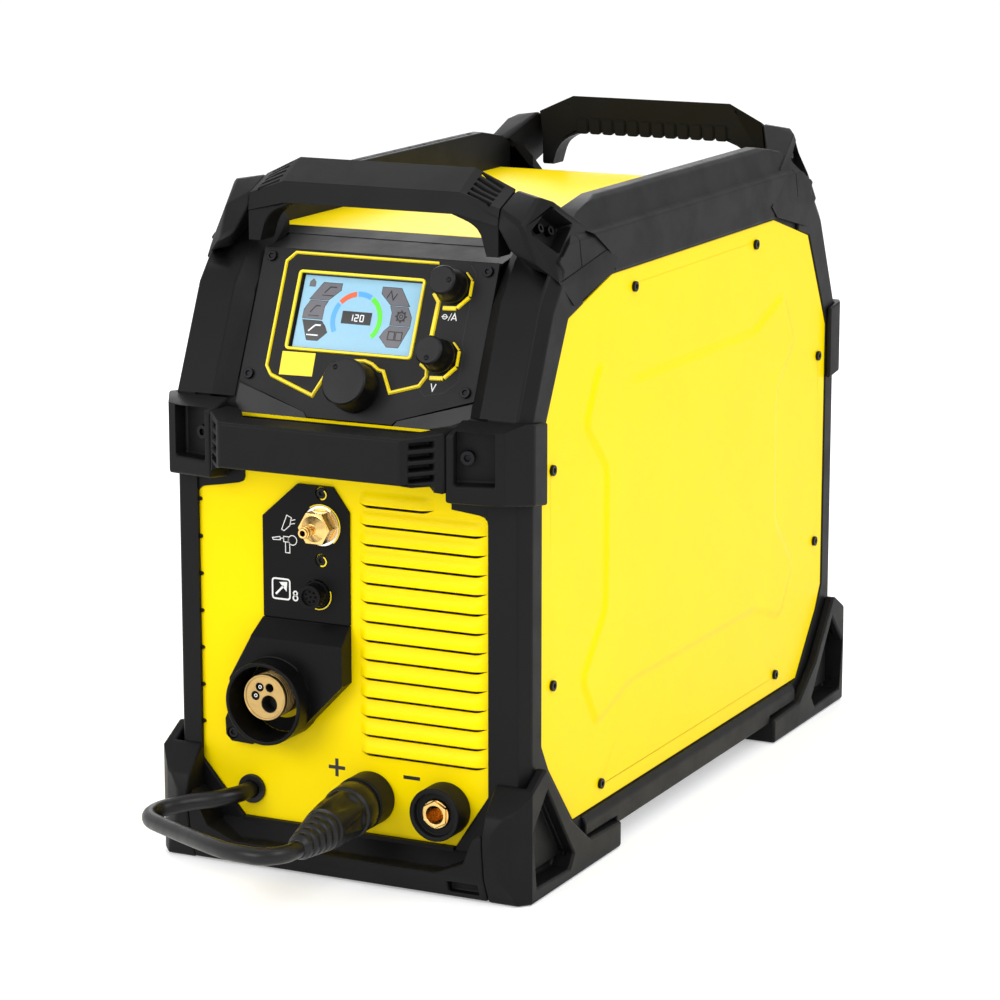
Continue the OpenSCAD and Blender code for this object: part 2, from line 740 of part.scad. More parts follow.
module handle_brackets() {
    color(black) both_x() both_y() difference() {
        intersection() {
            hull() polyhedron(bracket_hull, [[for (i = [0:13]) i]]);
            union() {
                difference() {
                    block([handle_half - 1, -hl, 380], [hw + 10, 0, 500]);
                    shell_core();
                }
                top_pocket(cup_wall);
            }
        }
        top_pocket(0);
        at_top_pocket() for (p = top_screw_places) translate([p[0], p[1], -top_pocket_depth - 5])
            cylinder(d = 4, h = 6);
    }
}

// ---------------------------------------------------------------- front and rear panels

plate_screws = [[-19, 272], [-19.6, 224.4]];
gas_out = [-20, 248.5];
remote_out = [-23, 200];
torch_x = -51.5;
torch_z = 128.5;
ring_x = -52;
ring_z = 124;
ring_r = 29.7;
lug_screw = [-88.6, 93.7];
socket_x = 17;
socket_z = 58;
grommet_x = -78;
grommet_z = 52;
louvre_x0 = 11;
louvre_top_z = 267.7;
gas_shank_d = 12;
remote_shank_d = 14;
socket_shank_d = 26;
grommet_d = 21;

module face_panel() {
    along_y(front_y, front_y + sheet_t) polygon([[-84, front_bottom_z], [84, front_bottom_z],
        [front_half, 71], [ledge_x - 0.5, 80], [ledge_x - 0.5, chin_z - 24], [front_half, front_top_z],
        [-front_half, front_top_z], [-ledge_x + 0.5, chin_z - 24], [-ledge_x + 0.5, 80], [-front_half, 71]]);
}

module front_panel() {
    color(yellow) difference() {
        union() {
            face_panel();
            for (i = [0:louvre_n - 1]) let (z = louvre_top_z - i * louvre_pitch)
                along_x(louvre_x0, louvre_x0 + louvre_w) polygon([[front_y + eps, z + 9.5],
                    [front_y - 3, z + 0.8], [front_y + eps, z + 0.8]]);
        }
        for (i = [0:louvre_n - 1]) let (z = louvre_top_z - i * louvre_pitch) {
            block([louvre_x0, front_y - 4, z - 1.6], [louvre_x0 + louvre_w, front_y + 5, z + 0.8]);
            along_x(louvre_x0 + 2, louvre_x0 + louvre_w - 2) polygon([[front_y + 3, z + 8],
                [front_y - 0.2, z + 6], [front_y - 2.2, z + 0.7], [front_y + 3, z - 1]]);
        }
        translate([gas_out[0], front_y, gas_out[1]]) rod_y(-2, 5, gas_shank_d);
        translate([remote_out[0], front_y, remote_out[1]]) rod_y(-2, 5, remote_shank_d);
        translate([torch_x, front_y, torch_z]) rod_y(-2, 5, torch_d - 4);
        for (x = [socket_x, socket_x + socket_pitch])
            translate([x, front_y, socket_z]) rod_y(-2, 5, socket_shank_d);
        translate([grommet_x, front_y, grommet_z]) rod_y(-2, 5, grommet_d - 4);
        for (p = concat(plate_screws, [lug_screw])) translate([p[0], front_y, p[1]]) rod_y(-2, 5, cover_shank_d);
    }
}

plate_t = 2.5;

module connector_plate() {
    color(black) difference() {
        along_y(front_y - plate_t, front_y) polygon([[-66, 180], [-66, 252], [-38, 277], [-10, 277],
            [2.5, 260], [2.5, 180]]);
        translate([gas_out[0], front_y, gas_out[1]]) rod_y(-5, 5, 29);
        translate([remote_out[0], front_y, remote_out[1]]) rod_y(-5, 5, 20);
        for (p = plate_screws) translate([p[0], front_y, p[1]]) rod_y(-5, 5, 9.5);
    }
}

ring_out = hood_out + 16;
lug_t = 9;

module torch_hood() {
    wall = 3;
    color(black) difference() {
        union() {
            intersection() {
                along_y(front_y - hood_out, front_y) polygon([[-66, 180], [-70, 167.4], [-88, 135],
                    [-88, 112], [ring_x - 21, ring_z - 21], [ring_x, ring_z - ring_r], [-36, 99], [2.5, 139],
                    [2.5, 180]]);
                along_x(-far, far) polygon([[front_y, 60], [front_y, 180], [front_y - plate_t, 180],
                    [front_y - hood_out, 167.5], [front_y - hood_out, 60]]);
            }
            translate([ring_x, front_y, ring_z]) rod_y(-ring_out, 0, 2 * ring_r);
            along_y(front_y - lug_t, front_y) polygon([[-89.4, 87.5], [-72.4, 87], [-60, 96], [-70, 118],
                [-88, 118], [-94.5, 104], [-94, 92]]);
        }
        translate([ring_x, front_y, ring_z]) rod_y(-ring_out - 1, 1, 2 * (ring_r - wall));
        // hollow behind the front face
        along_y(front_y - hood_out + wall, front_y + 1) polygon([[-40, 164], [-0.5, 164], [-0.5, 141],
            [-20, 121], [-30, 150]]);
        translate([lug_screw[0], front_y, lug_screw[1]]) {
            rod_y(-lug_t - 1, 1, cover_shank_d);
            rod_y(-lug_t - 1, -lug_t + 3, cover_head_d + 1);
        }
    }
}

module gas_fitting() {
    difference() {
        union() {
            rod_y(-2, 0, 25);
            rotate([90, 0, 0]) cylinder(d = 25, h = 12, $fn = 6);
            translate([0, -12, 0]) rotate([90, 0, 0]) cylinder(d1 = 19, d2 = 8, h = 4);
            rod_y(-28, -11, 7);
            rod_y(-26, -23.5, 8.4);
            rod_y(-22, -19.5, 8.4);
            rod_y(-eps, 16, gas_shank_d);
        }
        rod_y(-30, 20, 4);
    }
}

gas_inlet_x = -95;
gas_inlet_z = [120, 175];

module gas_fittings() {
    color(brass) {
        translate([gas_out[0], front_y, gas_out[1]]) gas_fitting();
        for (z = gas_inlet_z) translate([gas_inlet_x, -front_y, z]) rotate([0, 0, 180]) gas_fitting();
        // solenoid valve on the two inlets' stems
        difference() {
            block([gas_inlet_x - 14, -front_y - 52, gas_inlet_z[0] - 14],
                [gas_inlet_x + 14, -front_y - 16.2, gas_inlet_z[1] + 14]);
            for (z = gas_inlet_z) translate([gas_inlet_x, -front_y, z]) rod_y(-40, -16, 6);
        }
    }
}

module remote_connector() {
    color(black) translate([remote_out[0], front_y, remote_out[1]]) difference() {
        union() {
            rod_y(-14, 0, 17);
            rod_y(-4, 0, 19.5);
            rod_y(-eps, 12, remote_shank_d);
        }
        rod_y(-15, -12, 12);
        for (a = [0:7]) rotate([0, a * 360 / 7, 0]) translate([a == 7 ? 0 : 3.8, 0, 0]) rod_y(-13, -9, 1.8);
        rod_y(-13, -9, 1.8);
    }
}

// Length of the torch connector behind the front panel
torch_tail = 48;
// Torch connector holes: place across, place up, diameter
torch_holes = [[3.3, -4.6, 12.4], [3.7, 7.1, 6.2], [-4.1, 6.9, 6.4], [-7.6, 0.4, 6.4]];

module torch_connector() {
    out = ring_out - 3;
    color(brass) translate([torch_x, front_y, torch_z]) difference() {
        union() {
            rod_y(-out, 0, torch_d);
            rod_y(-eps, torch_tail, torch_d - 4);
            rod_y(sheet_t, sheet_t + 6, torch_d + 8);
        }
        translate([torch_holes[0][0], 0, torch_holes[0][1]]) rod_y(-out - 1, torch_tail + 1, torch_holes[0][2]);
        for (i = [1:3]) translate([torch_holes[i][0], 0, torch_holes[i][1]])
            rod_y(-out - 1, -out + 12, torch_holes[i][2]);
        for (i = [0:4]) translate([0, -out + 3 + 2.2 * i, 0]) rotate([-90, 0, 0]) difference() {
            cylinder(d = torch_d + 2, h = 1);
            cylinder(d = torch_d - 1.2, h = 1);
        }
    }
}

module output_sockets() {
    color(black) for (x = [socket_x, socket_x + socket_pitch])
        translate([x, front_y, socket_z]) difference() {
            union() {
                rod_y(-socket_out, 0, socket_d);
                rod_y(-eps, 22, socket_shank_d);
            }
            rod_y(-socket_out - 1, -socket_out + 5, socket_d - 7);
            rod_y(-socket_out - 1, 30, 20);
        }
}

pin_d = 13;

module socket_inserts() {
    color(brass) for (x = [socket_x, socket_x + socket_pitch])
        translate([x, front_y, socket_z]) difference() {
            union() {
                rod_y(-socket_out + 3, 34, 20);
                translate([0, -socket_out + 3, 0]) rotate([90, 30, 0]) cylinder(d = 19.5, h = 1.5, $fn = 6);
            }
            rod_y(-socket_out, 20, pin_d + 0.2);
        }
}

module polarity_grommet() {
    color(black) translate([grommet_x, front_y, grommet_z]) difference() {
        union() {
            rod_y(-3, 0, grommet_d);
            rod_y(-eps, sheet_t + eps, grommet_d - 4);
            rod_y(sheet_t, sheet_t + 3, grommet_d);
        }
        rod_y(-2.5, sheet_t + 4, lead_d);
        rod_y(-4, -2.5, lead_d + 1);
    }
}

// Axis of the polarity plug
plug_tilt = 3.5;
plug_yaw = 1.9;
plug_face = front_y - socket_out;
plug_axis = [sin(plug_yaw) * cos(plug_tilt), -cos(plug_yaw) * cos(plug_tilt), -sin(plug_tilt)];
plug_end = [socket_x, plug_face, socket_z] + plug_len * plug_axis;

// Route of the polarity lead, from the grommet round to the plug
lead_start = [grommet_x, front_y - 2.5, grommet_z];
lead_route = [lead_start, [-79, -302, 52], [-84, -312, 51.5], [-93, -319, 50], [-105, -323, 48],
    [-116, -327.5, 45.5], [-124.5, -335.5, 43.5], [-126, -347, 42.5], [-119.5, -358, 42.5],
    [-107, -367.5, 43.5], [-91, -378, 45], [-73, -389.5, 46.5], [-54, -402, 48.5], [-36, -412.5, 50],
    [-20, -420, 51], [-6, -424, 52], [5, -423.5, 52], [14, -418.5, 52.5], [19, -410.5, 52.5], plug_end];

function route_dir(i) =
    i == 0 ? [0, -1, 0] :
    i == len(lead_route) - 1 ? -plug_axis :
    unit(lead_route[i + 1] - lead_route[i - 1]);

module polarity_lead() {
    sides = 12;
    color(black) loft([for (i = [0:len(lead_route) - 1])
        let (d = route_dir(i), u = unit(cross([0, 0, 1], d)), v = cross(d, u))
        [for (k = [sides - 1:-1:0])
            lead_route[i] + lead_d / 2 * (cos(k * 360 / sides) * u + sin(k * 360 / sides) * v)]]);
}

// Outline of the plug along its axis: distance from the socket, radius
plug_shape = [[0, 17.5], [4, 17.5], [5, 18.5], [18, 18.5], [20, 17.4], [54, 15], [54.5, 14], [61, 13.6],
    [61.5, 12.8], [68, 12.4], [68.5, 11.6], [75, 11.2], [75.5, 10.4], [82, 10], [82.5, 9.4], [plug_len - 1, 9]];

module at_plug() {
    translate([socket_x, plug_face, socket_z]) rotate([0, 0, plug_yaw]) rotate([90 + plug_tilt, 0, 0])
        children();
}

module polarity_plug() {
    flute_n = 6;
    color(black) difference() {
        at_plug() translate([0, 0, -4]) rotate_extrude() polygon(concat([[0, 0], [15, 0], [15, 4]],
            [for (p = plug_shape) [p[1], p[0] + 4]], [[lead_d / 2, plug_len + 4], [0, plug_len + 4]]));
        block([-50, plug_face, 0], [100, 0, 120]);
        at_plug() for (a = [0:flute_n - 1])
            rotate([0, 0, a * 360 / flute_n]) translate([18.6, 0, 23]) rotate([0, -4, 0])
                cylinder(d = 4, h = 27);
    }
    color(brass) translate([socket_x, plug_face, socket_z]) rod_y(-3, 26, pin_d);
}

// ---------------------------------------------------------------- control panel

screw_low = 85.5;
plate_low = 110;
plate_step = 19;
plate_flat = 33;
plate_lip = 2.5;

// Panel coordinates: X across, Y up the slope, Z out of the panel
module on_panel() {
    translate([0, control_y, control_z]) rotate([90 - lean, 0, 0]) children();
}

display_mid = [-10.5, -37.3];
knob_places = [[1, -89.3], [60.5, -12.7], [60.5, -62.2]];
control_screw_x = control_half - 7.6;
control_screws = [for (x = [control_screw_x, -control_screw_x]) for (y = [0, -screw_low]) [x, y]];

// Holes for the screws that hold the panel, from a depth behind it to its face
module control_screw_holes(behind) {
    for (p = control_screws) translate([p[0], p[1], -control_t - behind])
        cylinder(d = cover_shank_d, h = control_t + behind + 1);
}

module fascia_outline() {
    w = control_half - 0.3;
    edge = [[w, 7], [w, -plate_low + plate_step], [plate_flat + 3, -plate_low + 0.9],
        [plate_flat, -plate_low - plate_lip]];
    polygon(concat(edge, [for (i = [len(edge) - 1:-1:0]) [-edge[i][0], edge[i][1]]]));
}

bezel_rim = 4;

module control_panel() {
    color(black) on_panel() difference() {
        translate([0, 0, -control_t]) linear_extrude(control_t) fascia_outline();
        translate([display_mid[0] - display_w / 2 - 1.5, display_mid[1] - display_h / 2 - 1.5, -control_t - 1])
            cube([display_w + 3, display_h + 3, control_t + 2]);
        for (p = knob_places) translate([p[0], p[1], -control_t - 1]) cylinder(d = bush_d, h = control_t + 2);
        control_screw_holes(1);
    }
}

module rear_fascia() {
    color(black) mirror([0, 1, 0]) on_panel() difference() {
        translate([0, 0, -control_t]) linear_extrude(control_t) fascia_outline();
        control_screw_holes(1);
    }
}

bush_d = 9;
bush_out = 4;

module display_bezel() {
    color(yellow) on_panel() translate([display_mid[0], display_mid[1], 0]) difference() {
        union() {
            translate([-display_w / 2 - bezel_rim, -display_h / 2 - bezel_rim + 0.5, 0])
                cube([display_w + 2 * bezel_rim, display_h + 2 * bezel_rim - 1, 1]);
            translate([-display_w / 2 - 1.5, -display_h / 2 - 1.5, -control_t])
                cube([display_w + 3, display_h + 3, control_t + 0.5]);
        }
        translate([-display_w / 2, -display_h / 2, -control_t - 1]) cube([display_w, display_h, control_t + 3]);
    }
}

module display_screen() {
    color("#9fd0f2") on_panel() translate([display_mid[0], display_mid[1], -control_t])
        translate([-display_w / 2 - 6, -display_h / 2 - 5, -8]) cube([display_w + 12, display_h + 10, 8]);
}

module encoders() {
    color(steel) on_panel() for (p = knob_places) translate([p[0], p[1], 0]) difference() {
        union() {
            translate([-7, -7, -control_t - 8]) cube([14, 14, 8]);
            translate([0, 0, -control_t - eps]) cylinder(d = bush_d, h = control_t + bush_out);
        }
        translate([0, 0, -control_t - 7]) cylinder(d = shaft_d + 2 * fit, h = control_t + bush_out + 9);
    }
}

// Cup-shaped knob with a flared skirt and a finger dimple; "turn" places the dimple
module knob(d, skirt, place, turn, shaft) {
    base = push_travel + 0.6;
    wall = 2.2;
    on_panel() translate([place[0], place[1], 0]) {
        difference() {
            rotate_extrude() polygon([[0, bush_out + 3], [shaft_d, bush_out + 3], [shaft_d, base],
                [skirt / 2, base], [skirt / 2, base + 3], [d / 2 + 0.6, base + 6],
                [d / 2 + 0.3, knob_h - 1.2], [d / 2 - 0.8, knob_h], [0, knob_h]]);
            translate([0, 0, base - 1]) difference() {
                cylinder(r = d / 2 - wall, h = 9);
                translate([0, 0, -1]) cylinder(d = shaft_d + 5, h = 11);
            }
            translate([0, 0, -1]) cylinder(d = bush_d + 1, h = 1 + bush_out + 2);
            rotate([0, 0, turn]) translate([d / 2 - 4.2, 0, knob_h + 0.8]) sphere(d = 4);
            if (!shaft) cylinder(d = shaft_d + 2 * fit, h = knob_h - 4);
        }
        if (shaft) translate([0, 0, -control_t - 6])
            cylinder(d = shaft_d, h = control_t + 6 + bush_out + 3 + eps);
    }
}

module knob_main() { color(black) knob(main_knob_d, main_knob_d + 2, knob_places[0], 130, false); }
module knob_upper() { color(black) knob(small_knob_d, small_knob_d + 4, knob_places[1], 0, true); }
module knob_lower() { color(black) knob(small_knob_d, small_knob_d + 4, knob_places[2], -90, true); }

module encoder_shaft() {
    color(steel) on_panel() translate([knob_places[0][0], knob_places[0][1], -control_t - 5.5])
        cylinder(d = shaft_d, h = control_t + 5.5 + knob_h - 4.2);
}

module cover_screws() {
    color(black) {
        for (p = side_screws) translate([panel_x + sheet_t + cover_head_h, p[0], p[1]]) rotate([0, 0, 90])
            socket_screw(cover_head_d, cover_head_h, cover_shank_d, side_shank_l);
        for (p = plate_screws) translate([p[0], front_y - cover_head_h, p[1]])
            socket_screw(cover_head_d, cover_head_h, cover_shank_d, sheet_t);
        translate([lug_screw[0], front_y - lug_t + 3 - cover_head_h, lug_screw[1]])
            socket_screw(cover_head_d, cover_head_h, cover_shank_d, lug_t - 3 + sheet_t);
        both_y() on_panel() for (p = control_screws) translate([p[0], p[1], cover_head_h]) rotate([-90, 0, 0])
            socket_screw(cover_head_d, cover_head_h, cover_shank_d, control_t + 3);
    }
}

// ---------------------------------------------------------------- wire feeder, left of the divider

wire_x = torch_x;
wire_z = torch_z;
feed_y = -hl + 96;
roll_axis_z = wire_z - roll_d / 2 - 0.6;
arm_pivot = [feed_y + 34, wire_z + 22];
upper_z = wire_z + roll_d / 2 + 0.6;
roll_w = 12;
feed_plate_x = -26;

module feed_unit() {
    color(steel) difference() {
        union() {
            // mounting plate on brackets from the divider
            block([feed_plate_x, feed_y - 46, wire_z - 42], [feed_plate_x + 6, feed_y + 50, wire_z + 46]);
            for (y = [-44, 38]) block([feed_plate_x + 6 - eps, feed_y + y, wire_z - 40],
                [8, feed_y + y + 8, wire_z - 28]);
            // motor behind the plate
            translate([0, feed_y, roll_axis_z]) rod_x(feed_plate_x + 6 - eps, 7, 46);
            // arm pivot pin
            translate([0, arm_pivot[0], arm_pivot[1]]) rod_x(feed_plate_x - 40, feed_plate_x + eps, 8);
        }
        translate([0, feed_y, roll_axis_z]) rod_x(feed_plate_x - 1, feed_plate_x + 20, 8 + 2 * fit);
    }
}

module drive_roll() {
    color(steel) translate([0, feed_y, roll_axis_z]) difference() {
        union() {
            rod_x(wire_x - roll_w / 2, wire_x + roll_w / 2, roll_d);
            rod_x(wire_x - roll_w / 2 - 5, wire_x - roll_w / 2, 16);
            rod_x(wire_x, feed_plate_x + 18, 8);
        }
        translate([wire_x, 0, 0]) rotate([0, 90, 0]) rotate_extrude() translate([roll_d / 2, 0, 0])
            circle(d = 1.2, $fn = 16);
    }
}

module pressure_arm() {
    color(black) difference() {
        union() {
            along_x(wire_x + roll_w / 2 + 1.5, wire_x + roll_w / 2 + 11) polygon([
                [feed_y - 40, upper_z - 6], [feed_y + 38, upper_z - 6], [feed_y + 42, upper_z + 18],
                [feed_y - 10, upper_z + 14], [feed_y - 20, upper_z + 8], [feed_y - 40, upper_z + 8]]);
            translate([0, feed_y, upper_z]) rod_x(wire_x - roll_w / 2 - 3, wire_x + roll_w / 2 + 2, 8);
            translate([0, feed_y, upper_z]) rod_x(wire_x - roll_w / 2 - 3, wire_x - roll_w / 2 - 0.5, 12);
        }
        translate([0, arm_pivot[0], arm_pivot[1]]) rod_x(wire_x - 10, wire_x + roll_w + 12, 8 + 2 * fit);
        translate([wire_x + roll_w / 2 + 6, feed_y - 32, 0]) cylinder(d = 7, h = 300);
    }
}

module pressure_roll() {
    color(steel) translate([0, feed_y, upper_z]) difference() {
        rod_x(wire_x - roll_w / 2, wire_x + roll_w / 2, roll_d);
        rod_x(wire_x - roll_w, wire_x + roll_w, 8 + 2 * fit);
    }
}

module tension_knob() {
    z0 = upper_z + 8.1;
    color(black) translate([wire_x + roll_w / 2 + 6, feed_y - 32, 0]) difference() {
        union() {
            translate([0, 0, z0]) cylinder(d = 20, h = 26);
            translate([0, 0, z0 - 12]) cylinder(d = 6, h = 14);
        }
        for (a = [0:45:315]) rotate([0, 0, a]) translate([11, 0, z0 + 4]) cylinder(d = 4, h = 30);
    }
}

hub_y = 70;
hub_z = 230;
hub_x0 = -74;
hub_x1 = -6;
hub_axle_d = 12;

module spool_hub() {
    color(black) translate([0, hub_y, hub_z]) difference() {
        union() {
            rod_x(hub_x0, hub_x1, hub_d);
            rod_x(hub_x1, divider_x - 0.5, hub_d + 16);
            rod_x(hub_x0 - 8, hub_x0, hub_d + 12);
            block([hub_x0 - 18, -5, -24], [hub_x0 - 8 + eps, 5, 24]);
        }
        rod_x(hub_x0 + 5, divider_x + 1, hub_axle_d + 2 * fit);
    }
}

spool_d = 200;
spool_w = 55;
spool_x0 = hub_x1 - 6 - spool_w;
flange_t = 3;
core_d = 100;
wound_d = 168;

module wire_spool() {
    color("#2a2c30") translate([0, hub_y, hub_z]) difference() {
        union() {
            rod_x(spool_x0, spool_x0 + flange_t, spool_d);
            rod_x(spool_x0 + spool_w - flange_t, spool_x0 + spool_w, spool_d);
            rod_x(spool_x0 + flange_t - eps, spool_x0 + spool_w - flange_t + eps, core_d);
        }
        rod_x(spool_x0 - 1, spool_x0 + spool_w + 1, hub_d + 0.6);
        // round windows in the flanges
        for (a = [0:60:300]) rotate([a, 0, 0]) translate([0, 72, 0]) {
            rod_x(spool_x0 - 1, spool_x0 + flange_t - 0.2, 20);
            rod_x(spool_x0 + spool_w - flange_t + 0.2, spool_x0 + spool_w + 1, 20);
        }
    }
}

// Wire wound on the spool, as a plain pack
module wire_winding() {
    color("#b8794f") translate([spool_x0 + flange_t, hub_y, hub_z]) difference() {
        rod_x(0, spool_w - 2 * flange_t, wound_d);
        rod_x(-1, spool_w, core_d);
    }
}

// ---------------------------------------------------------------- rear

fan_x = 70;
fan_z = 200;
fan_frame = fan_d + 14;
fan_depth = 38;
switch_x = -62;
switch_z = 270;
gland_x = -62;
gland_z = 92;
gland_d = 30;

module rear_panel() {
    color(yellow) difference() {
        mirror([0, 1, 0]) face_panel();
        for (i = [-6:6]) let (z = i * 8, w = sqrt(pow(fan_d / 2 - 2, 2) - z * z))
            block([fan_x - w, -front_y - 5, fan_z + z - 2.5], [fan_x + w, -front_y + 5, fan_z + z + 2.5]);
        translate([switch_x, -front_y, switch_z]) rod_y(-5, 5, 12);
        translate([gland_x, -front_y, gland_z]) rod_y(-5, 5, gland_d - 6);
        for (z = gas_inlet_z) translate([gas_inlet_x, -front_y, z]) rod_y(-5, 5, gas_shank_d);
    }
}

module fan_shroud() {
    y1 = -front_y - sheet_t;
    color(black) difference() {
        translate([fan_x - fan_frame / 2, y1 - fan_depth, fan_z - fan_frame / 2])
            cube([fan_frame, fan_depth, fan_frame]);
        translate([fan_x, y1, fan_z]) difference() {
            rod_y(-fan_depth - 1, 1, fan_d + 4);
            rod_y(-fan_depth + 4, -fan_depth + 12, 40);
            rod_y(-fan_depth + 3, -fan_depth + 30, 8);
            for (a = [45, 135]) rotate([0, a, 0])
                block([-fan_d / 2 - 3, -fan_depth + 4, -3], [fan_d / 2 + 3, -fan_depth + 8, 3]);
        }
    }
}

module fan_rotor() {
    y1 = -front_y - sheet_t;
    blades = 7;
    color(black) translate([fan_x, y1 - fan_depth + 14, fan_z]) difference() {
        union() {
            rod_y(0, 20, 38);
            for (a = [0:blades - 1]) rotate([0, a * 360 / blades, 0])
                translate([0, 10, 0]) rotate([35, 0, 0]) block([16, -1.2, -11], [fan_d / 2 - 2, 1.2, 11]);
        }
        rod_y(-1, 17, 8 + 2 * fit);
    }
}

module power_switch() {
    color(black) translate([switch_x, -front_y, switch_z]) {
        rod_y(1, 9, switch_d);
        block([-5, 9 - eps, -switch_d / 2 + 1], [5, 20, switch_d / 2 - 1]);
        rod_y(-16, 1 + eps, 12 - 0.2);
    }
}

module mains_gland() {
    color(black) translate([gland_x, -front_y, gland_z]) difference() {
        union() {
            rotate([-90, 0, 0]) cylinder(d = gland_d + 8, h = 8, $fn = 6);
            rod_y(7, 20, gland_d);
            rod_y(-14, eps, gland_d - 6);
        }
        rod_y(-15, 21, 14);
    }
}

// ---------------------------------------------------------------- power electronics, right of the divider

// Place of the divider's right face, and the floor that the heavy parts stand on
bay_x = 8 + sheet_t;
bay_z = floor_z + sheet_t;
sink_mid = [-45, 300];
sink_size = [50, 210, 100];
sink_base = 8;
fin_t = 2.4;
fin_n = 12;

module heatsink() {
    y0 = sink_mid[0] - sink_size[1] / 2;
    z0 = sink_mid[1] - sink_size[2] / 2;
    pitch = (sink_size[2] - 2 - fin_t) / (fin_n - 1);
    color("#c8ccd0") {
        block([bay_x, y0, z0], [bay_x + sink_base, y0 + sink_size[1], z0 + sink_size[2]]);
        for (i = [0:fin_n - 1]) block([bay_x + sink_base - eps, y0, z0 + 1 + i * pitch],
            [bay_x + sink_size[0], y0 + sink_size[1], z0 + 1 + i * pitch + fin_t]);
    }
}

core_mid = [65, -60];
core_size = [80, 120, 90];
core_limb = 22;
coil_size = [94, 56, 46];
coil_wall = 8;

// A box with its middle at core_mid, size across and along, between two heights above the floor
module core_block(size, low, high) {
    block([core_mid[0] - size[0] / 2, core_mid[1] - size[1] / 2, bay_z + low],
        [core_mid[0] + size[0] / 2, core_mid[1] + size[1] / 2, bay_z + high]);
}

module transformer() {
    top = core_size[2] - core_limb;
    limb = [core_size[0] - 10, core_size[1]];
    color("#3a3c40") {
        difference() {
            core_block(core_size, 0, core_size[2]);
            core_block([core_size[0] + 2, core_size[1] - 50], core_limb, top);
        }
        difference() {
            core_block(coil_size, core_limb, top);
            core_block(limb, core_limb + coil_wall, top - coil_wall);
        }
        core_block([limb[0], limb[1] - 2 * eps], core_limb + coil_wall, top - coil_wall);
    }
}

board_mid = [120, 60];
board_size = [160, 100];
board_t = 1.6;
board_post = 6;
can_d = 34;
can_x = bay_x + 60;

module main_board() {
    y0 = board_mid[0];
    z0 = bay_z + board_mid[1];
    color("#2f6b3a") {
        block([bay_x + board_post, y0 - board_size[0] / 2, z0 - board_size[1] / 2],
            [bay_x + board_post + board_t, y0 + board_size[0] / 2, z0 + board_size[1] / 2]);
        for (y = [-1, 1]) for (z = [-1, 1])
            translate([0, y0 - 4 + y * (board_size[0] / 2 - 12), z0 - 2 + z * (board_size[1] / 2 - 8)])
                rod_x(bay_x, bay_x + board_post + eps, 8);
        for (y = [-1:1]) for (z = [-23, 23])
            translate([0, y0 - 8 + y * 42, z0 - 3 + z]) rod_x(bay_x + board_post + board_t - eps, can_x, can_d);
    }
}

chassis_tray();
divider_wall();
front_panel();
rear_panel();
top_cover();
side_panel_right();
front_frame();
rear_frame();
feet();
base_rails();
bumper_front();
bumper_rear();
bumper_brackets();
handle_front();
handle_rear();
handle_brackets();
top_rail_right();
top_rail_left();
handle_cowls();
bracket_screws();
cover_screws();
control_panel();
rear_fascia();
display_bezel();
display_screen();
knob_main();
knob_upper();
knob_lower();
encoder_shaft();
encoders();
connector_plate();
torch_hood();
gas_fittings();
remote_connector();
torch_connector();
polarity_grommet();
polarity_lead();
polarity_plug();
output_sockets();
socket_inserts();
left_door();
door_rail();
door_hinge_rod();
door_latch_front();
door_latch_rear();
feed_unit();
drive_roll();
pressure_arm();
pressure_roll();
tension_knob();
spool_hub();
wire_spool();
wire_winding();
fan_rotor();
fan_shroud();
power_switch();
mains_gland();
heatsink();
transformer();
main_board();
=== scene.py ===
"""Finishes, fine detail and studio of a portable welding power source.

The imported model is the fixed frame. Each sub-assembly below is a class that dresses its
pieces: it copies a piece's mesh, rounds the edges as a mould or a press would, gives it a
procedural finish and adds the detail that is too fine for the solids. Lengths are in metres
unless a name ends in _mm.
"""

import json
import logging
import math
from dataclasses import dataclass, field
from enum import Enum
from typing import Callable, Iterable, Optional, Sequence

import bmesh
import bpy
from mathutils import Matrix, Vector
from mathutils.bvhtree import BVHTree
from mathutils.kdtree import KDTree

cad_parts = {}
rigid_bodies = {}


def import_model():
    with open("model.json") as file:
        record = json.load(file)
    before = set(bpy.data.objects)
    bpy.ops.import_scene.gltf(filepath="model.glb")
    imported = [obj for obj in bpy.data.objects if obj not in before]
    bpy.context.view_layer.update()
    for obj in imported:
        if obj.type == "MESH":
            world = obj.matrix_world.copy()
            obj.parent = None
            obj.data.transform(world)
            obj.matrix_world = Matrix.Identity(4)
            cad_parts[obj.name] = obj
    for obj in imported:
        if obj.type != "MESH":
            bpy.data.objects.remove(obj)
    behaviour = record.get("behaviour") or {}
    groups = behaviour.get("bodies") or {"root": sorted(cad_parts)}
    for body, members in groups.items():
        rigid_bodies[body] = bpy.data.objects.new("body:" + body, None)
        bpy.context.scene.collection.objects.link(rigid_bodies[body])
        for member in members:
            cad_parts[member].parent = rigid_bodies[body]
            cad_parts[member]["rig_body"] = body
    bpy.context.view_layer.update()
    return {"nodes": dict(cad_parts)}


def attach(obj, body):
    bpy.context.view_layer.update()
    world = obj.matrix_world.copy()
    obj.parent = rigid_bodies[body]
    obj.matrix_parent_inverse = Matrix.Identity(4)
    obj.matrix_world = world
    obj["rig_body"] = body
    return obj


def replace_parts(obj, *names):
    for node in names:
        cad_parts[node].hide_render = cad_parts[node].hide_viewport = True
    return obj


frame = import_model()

log = logging.getLogger("welding_power_source")
MM = 0.001
MILLIMETRES = Matrix.Scale(MM, 4)
MACHINE = "machine"
SMOOTH_BELOW = math.radians(38)
Point2 = tuple[float, float]
Colour = tuple[float, float, float]
DressRow = tuple[str, object, float, int]


# ---------------------------------------------------------------- finishes


